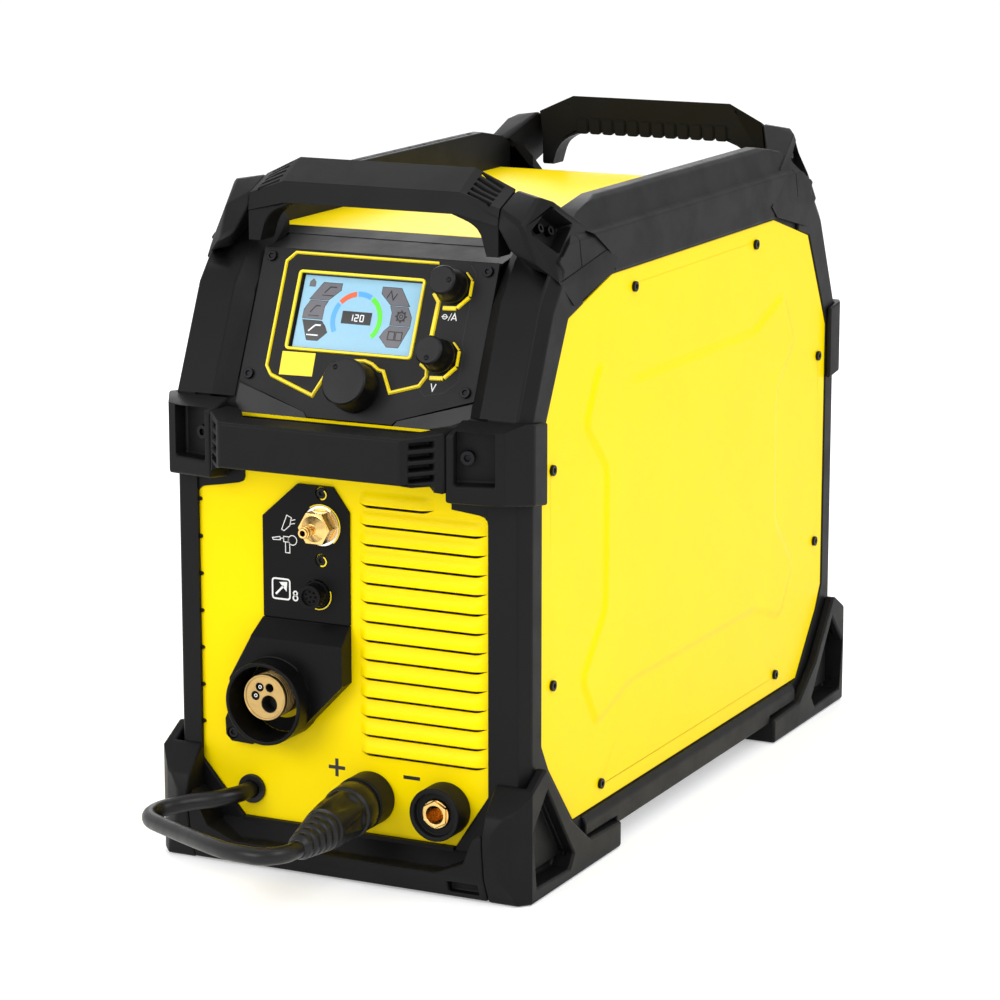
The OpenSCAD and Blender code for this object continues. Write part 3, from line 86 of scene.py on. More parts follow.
class Sketch:
    """A material whose nodes are laid out by short calls."""

    def __init__(self, name: str) -> None:
        """Starts a material with one Principled shader.

        Args:
            name: The material's name.
        """
        self.material = bpy.data.materials.new(name)
        self.material.use_nodes = True
        self.tree = self.material.node_tree
        self.shader = self.tree.nodes["Principled BSDF"]
        self.place = self.add("ShaderNodeTexCoord").outputs["Object"]

    def add(self, kind: str, inputs: Optional[dict] = None, **settings) -> bpy.types.Node:
        """Adds a node.

        Args:
            kind: The node's type.
            inputs: Values or sockets by input name or number.
            settings: Properties of the node.

        Returns:
            The new node.
        """
        node = self.tree.nodes.new(kind)
        for key, value in settings.items():
            setattr(node, key, value)
        for key, value in (inputs or {}).items():
            self.feed(node.inputs[key], value)
        return node

    def feed(self, target: bpy.types.NodeSocket, value: object) -> None:
        """Sets an input to a value, or links a socket to it.

        Args:
            target: The input.
            value: A number, a tuple, or the socket that feeds it.
        """
        if isinstance(value, bpy.types.NodeSocket):
            self.tree.links.new(value, target)
        elif target.type == "RGBA" and len(value) == 3:
            target.default_value = (*value, 1.0)
        else:
            target.default_value = value

    def set(self, **values: object) -> None:
        """Sets the shader's inputs, with underscores for the spaces in their names."""
        for key, value in values.items():
            self.feed(self.shader.inputs[key.replace("_", " ")], value)

    def noise(self, size_mm: float, detail: float = 2.0, roughness: float = 0.5) -> bpy.types.NodeSocket:
        """Noise whose lumps are about size_mm across.

        Args:
            size_mm: Size of a lump.
            detail: Octaves of finer noise.
            roughness: Strength of the finer noise.

        Returns:
            The noise's factor, about 0.3 to 0.7.
        """
        return self.add("ShaderNodeTexNoise", {"Vector": self.place, "Scale": 1.0 / (size_mm * MM),
                                               "Detail": detail, "Roughness": roughness}).outputs[0]

    def spread(self, value: bpy.types.NodeSocket, low: float, high: float,
               start: float = 0.3, end: float = 0.7) -> bpy.types.NodeSocket:
        """Maps start to end onto low to high, and stops there.

        Args:
            value: The socket to map.
            low: Result at start.
            high: Result at end.
            start: Lower end of the range that is mapped.
            end: Upper end of the range that is mapped.

        Returns:
            The mapped value.
        """
        return self.add("ShaderNodeMapRange", {"Value": value, "From Min": start, "From Max": end,
                                               "To Min": low, "To Max": high}).outputs[0]

    def blend(self, factor: bpy.types.NodeSocket, first: object, second: object) -> bpy.types.NodeSocket:
        """Mixes two colours.

        Args:
            factor: 0 for the first colour, 1 for the second.
            first: A colour or a socket.
            second: A colour or a socket.

        Returns:
            The mixed colour.
        """
        node = self.add("ShaderNodeMix", data_type="RGBA")
        self.feed(node.inputs[0], factor)
        self.feed(node.inputs[6], first)
        self.feed(node.inputs[7], second)
        return node.outputs[2]

    def math(self, operation: str, first: object, second: object = 0.0) -> bpy.types.NodeSocket:
        """Reckons with two values.

        Args:
            operation: The Math node's operation.
            first: A number or a socket.
            second: A number or a socket.

        Returns:
            The result.
        """
        return self.add("ShaderNodeMath", {0: first, 1: second}, operation=operation).outputs[0]

    def part_of_place(self, axis: str) -> bpy.types.NodeSocket:
        """One coordinate of the place on the piece, in metres."""
        return self.add("ShaderNodeSeparateXYZ", {0: self.place}).outputs[axis]

    def relief(self, height: bpy.types.NodeSocket, depth_mm: float, strength: float) -> None:
        """Adds a bump to the surface.

        Args:
            height: The bump's height, 0 to 1.
            depth_mm: Depth that the heights span.
            strength: Share of the bump that is used.
        """
        node = self.add("ShaderNodeBump", {"Height": height, "Distance": depth_mm * MM, "Strength": strength})
        self.set(Normal=node.outputs[0])


def shade(colour: Colour, by: float) -> Colour:
    """A colour made darker or lighter.

    Args:
        colour: The colour.
        by: What each part is multiplied by.

    Returns:
        The new colour.
    """
    return tuple(min(1.0, part * by) for part in colour)


@dataclass(frozen=True)
class PowderCoat:
    """Satin powder coat on sheet steel, with its fine orange peel."""

    name: str
    colour: Colour
    roughness: float = 0.3
    peel_mm: float = 1.6

    def build(self) -> bpy.types.Material:
        """Builds the material.

        Returns:
            The material.
        """
        sketch = Sketch(self.name)
        tone = sketch.noise(60, 3)
        sketch.set(Base_Color=sketch.blend(sketch.spread(tone, 0, 1), shade(self.colour, 0.97), self.colour),
                   Roughness=sketch.spread(sketch.noise(9, 4), self.roughness, self.roughness + 0.07),
                   Coat_Weight=0.02, Coat_Roughness=0.2, Specular_IOR_Level=0.07)
        sketch.relief(sketch.noise(self.peel_mm, 1), 0.005, 0.3)
        return sketch.material


@dataclass(frozen=True)
class MouldedPlastic:
    """Injection-moulded plastic with an eroded grain and handling marks."""

    name: str
    colour: Colour
    roughness: float = 0.5
    grain_mm: float = 0.55
    grain_depth_mm: float = 0.03
    sheen: float = 0.13

    def build(self) -> bpy.types.Material:
        """Builds the material.

        Returns:
            The material.
        """
        sketch = Sketch(self.name)
        marks = sketch.spread(sketch.noise(35, 5, 0.6), 0, 1, 0.42, 0.66)
        sketch.set(Base_Color=sketch.blend(marks, self.colour, shade(self.colour, 1.25)),
                   Roughness=sketch.spread(marks, self.roughness - 0.04, self.roughness + 0.05, 0, 1),
                   Specular_IOR_Level=self.sheen)
        grain = {"Vector": sketch.place, "Scale": 1 / (self.grain_mm * MM)}
        cells = sketch.add("ShaderNodeTexVoronoi", grain, feature="SMOOTH_F1").outputs[0]
        sketch.relief(cells, self.grain_depth_mm, 0.7)
        return sketch.material


@dataclass(frozen=True)
class Rubber:
    """Matt cable or grommet rubber with a dusty bloom."""

    name: str
    colour: Colour
    roughness: float = 0.55

    def build(self) -> bpy.types.Material:
        """Builds the material.

        Returns:
            The material.
        """
        sketch = Sketch(self.name)
        bloom = sketch.spread(sketch.noise(12, 6, 0.65), 0, 1, 0.45, 0.75)
        sketch.set(Base_Color=sketch.blend(bloom, self.colour, shade(self.colour, 1.7)),
                   Roughness=sketch.spread(bloom, self.roughness - 0.08, self.roughness + 0.08, 0, 1),
                   Specular_IOR_Level=0.28)
        sketch.relief(sketch.noise(0.7, 3), 0.03, 0.5)
        return sketch.material


@dataclass(frozen=True)
class Metal:
    """Turned, plated or drawn metal with fine tool marks and a thin tarnish."""

    name: str
    colour: Colour
    roughness: float = 0.25
    tarnish: Colour = (0.4, 0.3, 0.2)
    tarnished: float = 0.3
    marks_mm: tuple[float, float, float] = (0.25, 3.0, 0.25)

    def build(self) -> bpy.types.Material:
        """Builds the material.

        Returns:
            The material.
        """
        sketch = Sketch(self.name)
        stain = sketch.spread(sketch.noise(6, 5, 0.6), 0, self.tarnished, 0.45, 0.8)
        sketch.set(Base_Color=sketch.blend(stain, self.colour, self.tarnish), Metallic=1.0,
                   Roughness=sketch.spread(sketch.noise(4, 4), self.roughness, self.roughness + 0.12))
        scale = tuple(1 / (size * MM) for size in self.marks_mm)
        place = sketch.add("ShaderNodeMapping", {"Vector": sketch.place, "Scale": scale}).outputs[0]
        lines = sketch.add("ShaderNodeTexNoise", {"Vector": place, "Scale": 1.0, "Detail": 2.0}).outputs[0]
        sketch.relief(lines, 0.01, 0.35)
        return sketch.material


@dataclass(frozen=True)
class ZincSheet:
    """Galvanised sheet with its crystal spangle."""

    name: str
    colour: Colour = (0.52, 0.53, 0.55)
    spangle_mm: float = 9.0

    def build(self) -> bpy.types.Material:
        """Builds the material.

        Returns:
            The material.
        """
        sketch = Sketch(self.name)
        crystals = sketch.add("ShaderNodeTexVoronoi", {"Vector": sketch.place,
                                                       "Scale": 1 / (self.spangle_mm * MM)}).outputs["Color"]
        grey = sketch.add("ShaderNodeSeparateColor", {0: crystals}).outputs[0]
        sketch.set(Base_Color=sketch.blend(grey, shade(self.colour, 0.85), shade(self.colour, 1.12)),
                   Metallic=1.0, Roughness=sketch.spread(grey, 0.3, 0.48, 0, 1))
        sketch.relief(sketch.noise(2, 3), 0.02, 0.3)
        return sketch.material


@dataclass(frozen=True)
class Varnish:
    """Smooth lacquer, sleeve or solder mask over fine lines."""

    name: str
    colour: Colour
    line_mm: float = 0.0
    axis: str = "X"
    roughness: float = 0.3

    def build(self) -> bpy.types.Material:
        """Builds the material.

        Returns:
            The material.
        """
        sketch = Sketch(self.name)
        tone = sketch.spread(sketch.noise(5, 4), 0, 1)
        if self.line_mm:
            place = sketch.part_of_place(self.axis)
            tone = sketch.math("SINE", sketch.math("MULTIPLY", place, 2 * math.pi / (self.line_mm * MM)))
            sketch.relief(tone, 0.1, 0.6)
        sketch.set(Base_Color=sketch.blend(tone, shade(self.colour, 0.8), shade(self.colour, 1.15)),
                   Roughness=self.roughness, Specular_IOR_Level=0.5)
        return sketch.material


@dataclass(frozen=True)
class Ink:
    """Printed or moulded-in colour of a label, with the grain of its ground."""

    name: str
    colour: Colour
    roughness: float = 0.42
    glow: float = 0.0

    def build(self) -> bpy.types.Material:
        """Builds the material.

        Returns:
            The material.
        """
        sketch = Sketch(self.name)
        tone = sketch.spread(sketch.noise(2, 3), 0, 1)
        sketch.set(Base_Color=sketch.blend(tone, shade(self.colour, 0.96), self.colour),
                   Roughness=self.roughness, Emission_Color=self.colour, Emission_Strength=self.glow)
        return sketch.material


YELLOW = (1.0, 0.755, 0.0)
BLACK = (0.005, 0.0051, 0.0055)
YELLOW_COAT = PowderCoat("yellow_powder_coat", YELLOW)
BLACK_MOULDING = MouldedPlastic("black_moulding", BLACK)
SMOOTH_BLACK = MouldedPlastic("smooth_black_moulding", (0.0035, 0.0035, 0.0038), 0.34, 0.8, 0.006, 0.1)
PANEL_BLACK = MouldedPlastic("panel_black", (0.0062, 0.0063, 0.0067), 0.46, 0.45, 0.03, 0.19)
WEDGE_BLACK = MouldedPlastic("wedge_black", (0.0105, 0.0105, 0.011), 0.42, 0.45, 0.03, 0.3)
PLATE_BLACK = MouldedPlastic("plate_black", (0.004, 0.004, 0.0043), 0.5, 0.5, 0.02, 0.1)
COWL_BLACK = MouldedPlastic("cowl_black", (0.004, 0.004, 0.0043), 0.45, 0.5, 0.02, 0.05)
KNOB_BLACK = MouldedPlastic("knob_black", (0.003, 0.003, 0.0033), 0.36, 0.6, 0.01, 0.22)
SPOOL_GREY = MouldedPlastic("spool_plastic", (0.012, 0.013, 0.015), 0.35, 0.8, 0.01)
CABLE_RUBBER = Rubber("cable_rubber", (0.0045, 0.0045, 0.005), 0.42)
BRASS = Metal("machined_brass", (0.84, 0.56, 0.2), 0.2, (0.55, 0.34, 0.1), 0.3)
DULL_BRASS = Metal("dull_brass", (0.5, 0.34, 0.13), 0.36, (0.3, 0.17, 0.06), 0.4)
NICKEL = Metal("nickel_plate", (0.78, 0.77, 0.74), 0.16, (0.4, 0.38, 0.33), 0.15)
BRIGHT_STEEL = Metal("ground_steel", (0.56, 0.57, 0.58), 0.24, (0.2, 0.2, 0.2), 0.2)
BLACK_OXIDE = Metal("black_oxide", (0.02, 0.02, 0.022), 0.36, (0.01, 0.01, 0.01), 0.4)
ALUMINIUM = Metal("extruded_aluminium", (0.72, 0.73, 0.75), 0.3, (0.4, 0.4, 0.42), 0.2, (0.3, 20.0, 0.3))
COPPERED_WIRE = Metal("coppered_wire", (0.85, 0.45, 0.25), 0.25, (0.4, 0.2, 0.1), 0.3, (2.0, 0.4, 0.4))
ZINC = ZincSheet("zinc_sheet")
LAMINATION = Varnish("core_laminations", (0.05, 0.052, 0.058), 1.0, "Z")
COIL_TAPE = Varnish("coil_tape", (0.42, 0.2, 0.04), 4.0, "X", 0.4)
SOLDER_MASK = Varnish("solder_mask", (0.015, 0.12, 0.04))
CAN_SLEEVE = Varnish("capacitor_sleeve", (0.01, 0.02, 0.06))
WHITE_INK = Ink("white_ink", (0.8, 0.8, 0.78))
BLACK_INK = Ink("black_ink", (0.006, 0.006, 0.007))
TRIM_YELLOW = Ink("trim_yellow", YELLOW, 0.3)
# Near-black for the panel seam and the screen liner, and painted shade on the walls and floors of the torch
# connector's bores.
NEAR_BLACK_AND_BORE_SHADE = Ink("near_black_and_painted_bore_shade", (0.003, 0.003, 0.003), 0.6)
SCREEN_BLUE = Ink("screen_blue", (0.26, 0.5, 0.66), 0.16, 0.1)
SCREEN_TILE = Ink("screen_tile", (0.115, 0.112, 0.13), 0.14, 0.06)
# Dark of the screen's signs and border; at the border's left it is also painted shade.
SCREEN_DARK = Ink("screen_dark", (0.012, 0.012, 0.014), 0.12)
SCREEN_WHITE = Ink("screen_white", (0.8, 0.82, 0.84), 0.12, 0.15)
SCREEN_BODY = Ink("screen_body", (0.05, 0.05, 0.055), 0.12)


class FinishShelf:
    """Keeps each finish's material, so that it is built once."""

    def __init__(self) -> None:
        """Starts empty."""
        self._materials: dict[str, bpy.types.Material] = {}

    def take(self, finish: object) -> bpy.types.Material:
        """The material of a finish.

        Args:
            finish: One of the finishes above.

        Returns:
            Its material.
        """
        if finish.name not in self._materials:
            self._materials[finish.name] = finish.build()
        return self._materials[finish.name]


SHELF = FinishShelf()


# ---------------------------------------------------------------- shaping and dressing


@dataclass(frozen=True)
class Zone:
    """The faces of a piece that have a finish of their own."""

    finish: object
    covers: Callable[[Vector, Vector], bool]


def body_of(node: str) -> str:
    """The body that a node of the frame rides on."""
    return frame["nodes"][node]["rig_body"]


def add_piece(name: str, mesh: bpy.types.Mesh, finish: object, body: str) -> bpy.types.Object:
    """Puts a new piece in the scene.

    Args:
        name: The piece's name.
        mesh: Its mesh, in place.
        finish: Its finish.
        body: The body that it rides on.

    Returns:
        The piece.
    """
    piece = bpy.data.objects.new(name, mesh)
    bpy.context.scene.collection.objects.link(piece)
    if not mesh.materials:
        mesh.materials.append(SHELF.take(finish))
    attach(piece, body)
    return piece


class EdgeRounder:
    """Rounds the sharp edges of a mesh as far as the faces beside them have room."""

    LEAST_TURN = math.radians(24)  # edges that turn less stay as they are
    FLAT_TURN = math.radians(0.7)  # faces that turn less are joined
    ROOM_SHARE = 0.46  # share of the free width that one rounding takes
    SIDEWAYS = 0.27  # a neighbour that leaves the edge's line by less carries it on
    LEAST_SHARE = 0.04  # a narrower rounding is left out
    STRAY_SHARE = 0.52  # a rounded corner lies no further off, by share of the radius
    FOLDED = -0.25  # a face that looks further back than this is folded over
    LEAST_FACE = 2e-8
    WELD = 2e-6
    EASING = (0.5, 0.5, 0.4, 0.3, 0.0)  # how each round of settling narrows the rounding

    def __init__(self, radius_mm: float, segments: int) -> None:
        """Keeps the sizes.

        Args:
            radius_mm: Width of the rounding where there is room.
            segments: Faces across a rounded edge.
        """
        self.radius = radius_mm * MM
        self.segments = segments

    @staticmethod
    def depth_to(edge: bmesh.types.BMEdge, other: bmesh.types.BMEdge, along: Vector) -> float:
        """How far the part of another edge that lies beside this one is from its line.

        Args:
            edge: The edge that is rounded.
            other: Another edge of the same face.
            along: The first edge's direction.

        Returns:
            The distance, or a large number if the other edge lies past the ends.
        """
        start, length = edge.verts[0].co, edge.calc_length()
        first, last = (vertex.co - start for vertex in other.verts)
        low, high = first.dot(along), last.dot(along)
        if low > high:
            first, last, low, high = last, first, high, low
        if high <= 0 or low >= length:
            return 1.0
        span = max(high - low, 1e-9)
        near = first.lerp(last, max(0.0, -low) / span)
        far = first.lerp(last, 1 - max(0.0, high - length) / span)
        return min((point - along * point.dot(along)).length for point in (near, far))

    def room(self, edge: bmesh.types.BMEdge) -> float:
        """The length that the rounding of an edge may take from its neighbours.

        Args:
            edge: The edge.

        Returns:
            The room in metres.
        """
        room = edge.calc_length() * 2
        along = (edge.verts[1].co - edge.verts[0].co).normalized()
        beside = {edge}
        for vertex in edge.verts:
            for other in vertex.link_edges:
                if other is edge:
                    continue
                beside.add(other)
                way = other.other_vert(vertex).co - vertex.co
                turn = way.cross(along).length
                if turn > self.SIDEWAYS * way.length:
                    room = min(room, turn * self.ROOM_SHARE)
        for face in edge.link_faces:
            for other in face.edges:
                if other not in beside:
                    room = min(room, self.depth_to(edge, other, along) * self.ROOM_SHARE)
        return room

    def prepare(self, mesh: bpy.types.Mesh) -> None:
        """Joins flat faces, and gives each sharp edge its share of the rounding.

        Args:
            mesh: The mesh, which is changed.
        """
        work = bmesh.new()
        work.from_mesh(mesh)
        bmesh.ops.remove_doubles(work, verts=work.verts, dist=self.WELD)
        bmesh.ops.dissolve_limit(work, angle_limit=self.FLAT_TURN, verts=work.verts, edges=work.edges)
        weight = work.edges.layers.float.new("bevel_weight_edge")
        for edge in work.edges:
            turn = edge.calc_face_angle(0) if len(edge.link_faces) == 2 else 0.0
            edge.smooth = turn < SMOOTH_BELOW
            if turn > self.LEAST_TURN:
                share = min(1.0, self.room(edge) / self.radius)
                edge[weight] = share if share > self.LEAST_SHARE else 0.0
        for face in work.faces:
            face.smooth = True
        work.to_mesh(mesh)
        work.free()

    def strays(self, shown: bpy.types.Mesh, surface: BVHTree) -> list[Vector]:
        """Places where the rounded mesh leaves the surface or folds over.

        Args:
            shown: The rounded mesh.
            surface: The mesh before rounding.

        Returns:
            The places.
        """
        furthest = self.radius * self.STRAY_SHARE
        places = [v.co.copy() for v in shown.vertices if surface.find_nearest(v.co)[3] > furthest]
        for face in shown.polygons:
            under = surface.find_nearest(face.center)[1] if face.area > self.LEAST_FACE else face.normal
            if under.dot(face.normal) < self.FOLDED:
                places.append(face.center.copy())
        return places

    def settle(self, piece: bpy.types.Object) -> None:
        """Narrows the rounding round each corner where it would spoil the surface.

        Args:
            piece: The piece, which has its rounding.
        """
        mesh = piece.data
        mesh.calc_loop_triangles()
        corners = KDTree(len(mesh.vertices))
        for vertex in mesh.vertices:
            corners.insert(vertex.co, vertex.index)
        corners.balance()
        surface = BVHTree.FromPolygons([v.co for v in mesh.vertices],
                                       [tuple(t.vertices) for t in mesh.loop_triangles], all_triangles=True)
        around: list[list[int]] = [[] for _ in mesh.vertices]
        for edge in mesh.edges:
            for end in edge.vertices:
                around[end].append(edge.index)
        for factor in self.EASING:
            shown = piece.evaluated_get(bpy.context.evaluated_depsgraph_get())
            places = self.strays(shown.to_mesh(), surface)
            shown.to_mesh_clear()
            if not places:
                return
            near: set[int] = set()
            for place in places:
                near.add(corners.find(place)[1])
                near.update(index for _, index, _ in corners.find_range(place, self.radius * 1.3))
            weights = mesh.attributes["bevel_weight_edge"].data
            for index in {number for corner in near for number in around[corner]}:
                weights[index].value *= factor
            mesh.update()
            piece.update_tag()
        log.info("%s: %d places with no rounding", piece.name, len(places))

    def apply(self, piece: bpy.types.Object) -> None:
        """Adds the rounding to a piece.

        Args:
            piece: The piece, whose mesh is changed.
        """
        self.prepare(piece.data)
        bevel = piece.modifiers.new("rounded_edges", "BEVEL")
        bevel.limit_method = "WEIGHT"
        bevel.width = self.radius
        bevel.segments = self.segments
        bevel.use_clamp_overlap = False
        bevel.harden_normals = True
        bevel.miter_outer = "MITER_SHARP"
        self.settle(piece)


def dress(node: str, finish: object, radius_mm: float, segments: int, zones: Sequence[Zone] = (),
          reshape: Optional[Callable[[Vector], Vector]] = None) -> None:
    """Stands a rounded and finished copy in for a node.

    Args:
        node: The node's name.
        finish: The finish of its faces.
        radius_mm: Radius of its edges.
        segments: Faces across a rounded edge.
        zones: Faces with another finish.
        reshape: Moves a corner, from and to a place in millimetres.
    """
    mesh = frame["nodes"][node].data.copy()
    mesh.materials.clear()
    mesh.materials.append(SHELF.take(finish))
    if "custom_normal" in mesh.attributes:
        mesh.attributes.remove(mesh.attributes["custom_normal"])
    if reshape is not None:
        for vertex in mesh.vertices:
            vertex.co = reshape(vertex.co / MM) * MM
    piece = add_piece(node + "_dressed", mesh, finish, body_of(node))
    EdgeRounder(radius_mm, segments).apply(piece)
    for number, zone in enumerate(zones, 1):
        mesh.materials.append(SHELF.take(zone.finish))
        for face in mesh.polygons:
            if zone.covers(face.center / MM, face.normal):
                face.material_index = number
    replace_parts(piece, node)
    log.info("dressed %s", node)


def dress_all(rows: Iterable[DressRow]) -> None:
    """Dresses nodes one by one, from rows of a name, a finish, a radius and a number of segments."""
    for row in rows:
        dress(*row)


@dataclass(frozen=True)
class Plane:
    """A flat face that labels, trim and small parts sit on, with sizes in millimetres."""

    origin_mm: tuple[float, float, float]
    right: tuple[float, float, float]
    up: tuple[float, float, float]

    def matrix(self) -> Matrix:
        """The plane's frame, with Z out of the face."""
        right, up = Vector(self.right).normalized(), Vector(self.up).normalized()
        turned = Matrix((right, up, right.cross(up))).transposed().to_4x4()
        return Matrix.Translation(Vector(self.origin_mm) * MM) @ turned @ Matrix.Scale(MM, 4)


def make_mesh(work: bmesh.types.BMesh, name: str, place: Matrix = MILLIMETRES) -> bpy.types.Mesh:
    """Puts a work mesh in its place and turns it into a mesh.

    Args:
        work: The work mesh in millimetres, which is freed.
        name: The mesh's name.
        place: What takes it to its place in metres.

    Returns:
        The mesh.
    """
    work.transform(place)
    mesh = bpy.data.meshes.new(name)
    work.to_mesh(mesh)
    work.free()
    return mesh


def join_ring(work: bmesh.types.BMesh, ring: Sequence[bmesh.types.BMVert]) -> list[bmesh.types.BMEdge]:
    """Joins a ring's points, where they aren't joined yet.

    Args:
        work: The mesh that the points are in.
        ring: The points.

    Returns:
        The ring's edges.
    """
    pairs = [(ring[i - 1], ring[i]) for i in range(len(ring))]
    return [work.edges.get(pair) or work.edges.new(pair) for pair in pairs]


def bridge(work: bmesh.types.BMesh, first: Sequence[bmesh.types.BMVert],
           second: Sequence[bmesh.types.BMVert]) -> None:
    """Fills between two rings with the same number of points."""
    for i in range(len(first)):
        work.faces.new((first[i - 1], first[i], second[i], second[i - 1]))


def fill_skin(work: bmesh.types.BMesh, *borders: Sequence[bmesh.types.BMEdge]) -> None:
    """Fills each flat area that some edges go round."""
    for edges in borders:
        bmesh.ops.triangle_fill(work, use_beauty=True, use_dissolve=False, edges=edges)


def face_outwards(work: bmesh.types.BMesh, way: Vector) -> None:
    """Shades a skin smooth, with all its faces to one side.

    Args:
        work: The skin.
        way: The direction that its faces look in.
    """
    for face in work.faces:
        face.smooth = True
        face.normal_update()
        if face.normal.dot(way) < 0:
            face.normal_flip()


def prism(work: bmesh.types.BMesh, outline: Sequence[Point2], low: float, high: float) -> None:
    """Adds a flat-topped solid on an outline.

    Args:
        work: The mesh that it is added to.
        outline: Its corners.
        low: Height of its base.
        high: Height of its top.
    """
    base = [work.verts.new((x, y, low)) for x, y in outline]
    top = [work.verts.new((x, y, high)) for x, y in outline]
    count = len(outline)
    work.faces.new(base[::-1])
    work.faces.new(top)
    for i in range(count):
        j = (i + 1) % count
        work.faces.new((base[i], base[j], top[j], top[i]))


def ribbon(line: Sequence[Point2], width: float, closed: bool = False) -> list[tuple[Point2, Point2]]:
    """The two sides of a line that has a width, mitred at its corners.

    Args:
        line: The line's points.
        width: Its width.
        closed: True if the last point joins the first.

    Returns:
        The left and right point at each corner.
    """
    points = [Vector(p) for p in line]
    count = len(points)
    sides = []
    for i, point in enumerate(points):
        before = points[i - 1] if i > 0 or closed else None
        after = points[(i + 1) % count] if i < count - 1 or closed else None
        first = (point - before).normalized() if before is not None else (after - point).normalized()
        second = (after - point).normalized() if after is not None else first
        normal = Vector((-first.y - second.y, first.x + second.x))
        normal = normal / max(normal.length_squared, 1e-9) * 2
        if normal.length > 2.5:
            normal = normal.normalized() * 2.5
        sides.append((tuple(point + normal * width / 2), tuple(point - normal * width / 2)))
    return sides


def stroke(work: bmesh.types.BMesh, line: Sequence[Point2], width: float, low: float, high: float,
           closed: bool = False, slope: float = 0.0) -> None:
    """Adds a raised line.

    Args:
        work: The mesh that it is added to.
        line: Its points.
        width: Its width.
        low: Height of its base.
        high: Height of its top.
        closed: True if the last point joins the first.
        slope: How much narrower each side of the top is than the base.
    """
    sides = ribbon(line, width, closed)
    tops = ribbon(line, width - 2 * slope, closed)
    rings = [[work.verts.new((*left, low)), work.verts.new((*top_left, high)),
              work.verts.new((*top_right, high)), work.verts.new((*right, low))]
             for (left, right), (top_left, top_right) in zip(sides, tops)]
    pairs = list(zip(rings, rings[1:] + rings[:1])) if closed else list(zip(rings, rings[1:]))
    for first, second in pairs:
        for i in range(4):
            j = (i + 1) % 4
            work.faces.new((first[i], second[i], second[j], first[j]))
    if not closed:
        work.faces.new(rings[0])
        work.faces.new(rings[-1][::-1])


def arc(centre: Point2, radius: float, start: float, end: float, count: int) -> list[Point2]:
    """Points along an arc.

    Args:
        centre: The arc's centre.
        radius: Its radius.
        start: Its first angle in degrees, from the right, counterclockwise.
        end: Its last angle.
        count: The number of points.

    Returns:
        The points.
    """
    angles = [math.radians(start + (end - start) * i / (count - 1)) for i in range(count)]
    return [(centre[0] + radius * math.cos(a), centre[1] + radius * math.sin(a)) for a in angles]


def hole_ring(centre: Point2, radius: float) -> list[Point2]:
    """24 points round a hole."""
    return arc(centre, radius, 0, 345, 24)


def rectangle(left: float, bottom: float, right: float, top: float) -> list[Point2]:
    """A rectangle's corners, counterclockwise from the lower left."""
    return [(left, bottom), (right, bottom), (right, top), (left, top)]


def tube(inner: float, outer: float, low: float, high: float) -> list[Point2]:
    """The closed section of a plain tube: radius and height of its corners."""
    return [(inner, low), (outer, low), (outer, high), (inner, high), (inner, low)]


def softened(outline: Sequence[Point2], reach: float, count: int) -> list[Point2]:
    """A closed outline with rounded corners.

    Args:
        outline: Its corners.
        reach: How far from a corner the rounding starts, at most.
        count: Points round a corner.

    Returns:
        The rounded outline.
    """
    points = [Vector(p) for p in outline]
    result: list[Point2] = []
    for i, point in enumerate(points):
        back, onward = points[i - 1] - point, points[(i + 1) % len(points)] - point
        start = point + back.normalized() * min(reach, back.length * 0.45)
        end = point + onward.normalized() * min(reach, onward.length * 0.45)
        for step in range(count):
            t = step / (count - 1)
            result.append(tuple(start * (1 - t) ** 2 + point * 2 * t * (1 - t) + end * t ** 2))
    return result


def moved_in(outline: Sequence[Point2], distance: float) -> list[Point2]:
    """A closed counterclockwise outline, moved inwards.

    Args:
        outline: Its points.
        distance: How far it moves in.

    Returns:
        The moved outline.
    """
    return [left for left, _ in ribbon(outline, distance * 2, True)]


def hull(points: Iterable[Point2]) -> list[Point2]:
    """The convex outline round some points, counterclockwise, without points on its sides.

    Args:
        points: The points.

    Returns:
        The outline's corners.
    """
    places = sorted(set(points))

    def half(ordered: Sequence[Point2]) -> list[Point2]:
        """One side of the outline.

        Args:
            ordered: The points, in order across.

        Returns:
            The side's corners, without its last one.
        """
        chain: list[Point2] = []
        for x, y in ordered:
            while len(chain) > 1:
                (x0, y0), (x1, y1) = chain[-2:]
                if (x1 - x0) * (y - y0) - (y1 - y0) * (x - x0) > 0.02:
                    break
                chain.pop()
            chain.append((x, y))
        return chain[:-1]

    return half(places) + half(places[::-1])


@dataclass
class Print:
    """Flat or raised artwork of one colour on a plane."""

    name: str
    plane: Plane
    finish: object
    slot: str
    low: float
    high: float
    work: bmesh.types.BMesh = field(default_factory=bmesh.new)

    def line(self, points: Sequence[Point2], width: float, closed: bool = False,
             slope: float = 0.0) -> "Print":
        """Adds a line, and returns the artwork for the next call."""
        stroke(self.work, points, width, self.low, self.high, closed, slope)
        return self

    def area(self, outline: Sequence[Point2]) -> "Print":
        """Adds a filled outline, and returns the artwork for the next call."""
        prism(self.work, outline, self.low, self.high)
        return self

    def ring(self, centre: Point2, radius: float, width: float, sides: int) -> "Print":
        """Adds a closed ring, and returns the artwork for the next call."""
        return self.line(arc(centre, radius, 0, 360 * (sides - 1) / sides, sides), width, True)

    def finish_piece(self) -> bpy.types.Object:
        """Puts the artwork in place.

        Returns:
            The new piece.
        """
        bmesh.ops.recalc_face_normals(self.work, faces=self.work.faces)
        mesh = make_mesh(self.work, self.name, self.plane.matrix())
        return add_piece(self.name, mesh, self.finish, MACHINE)


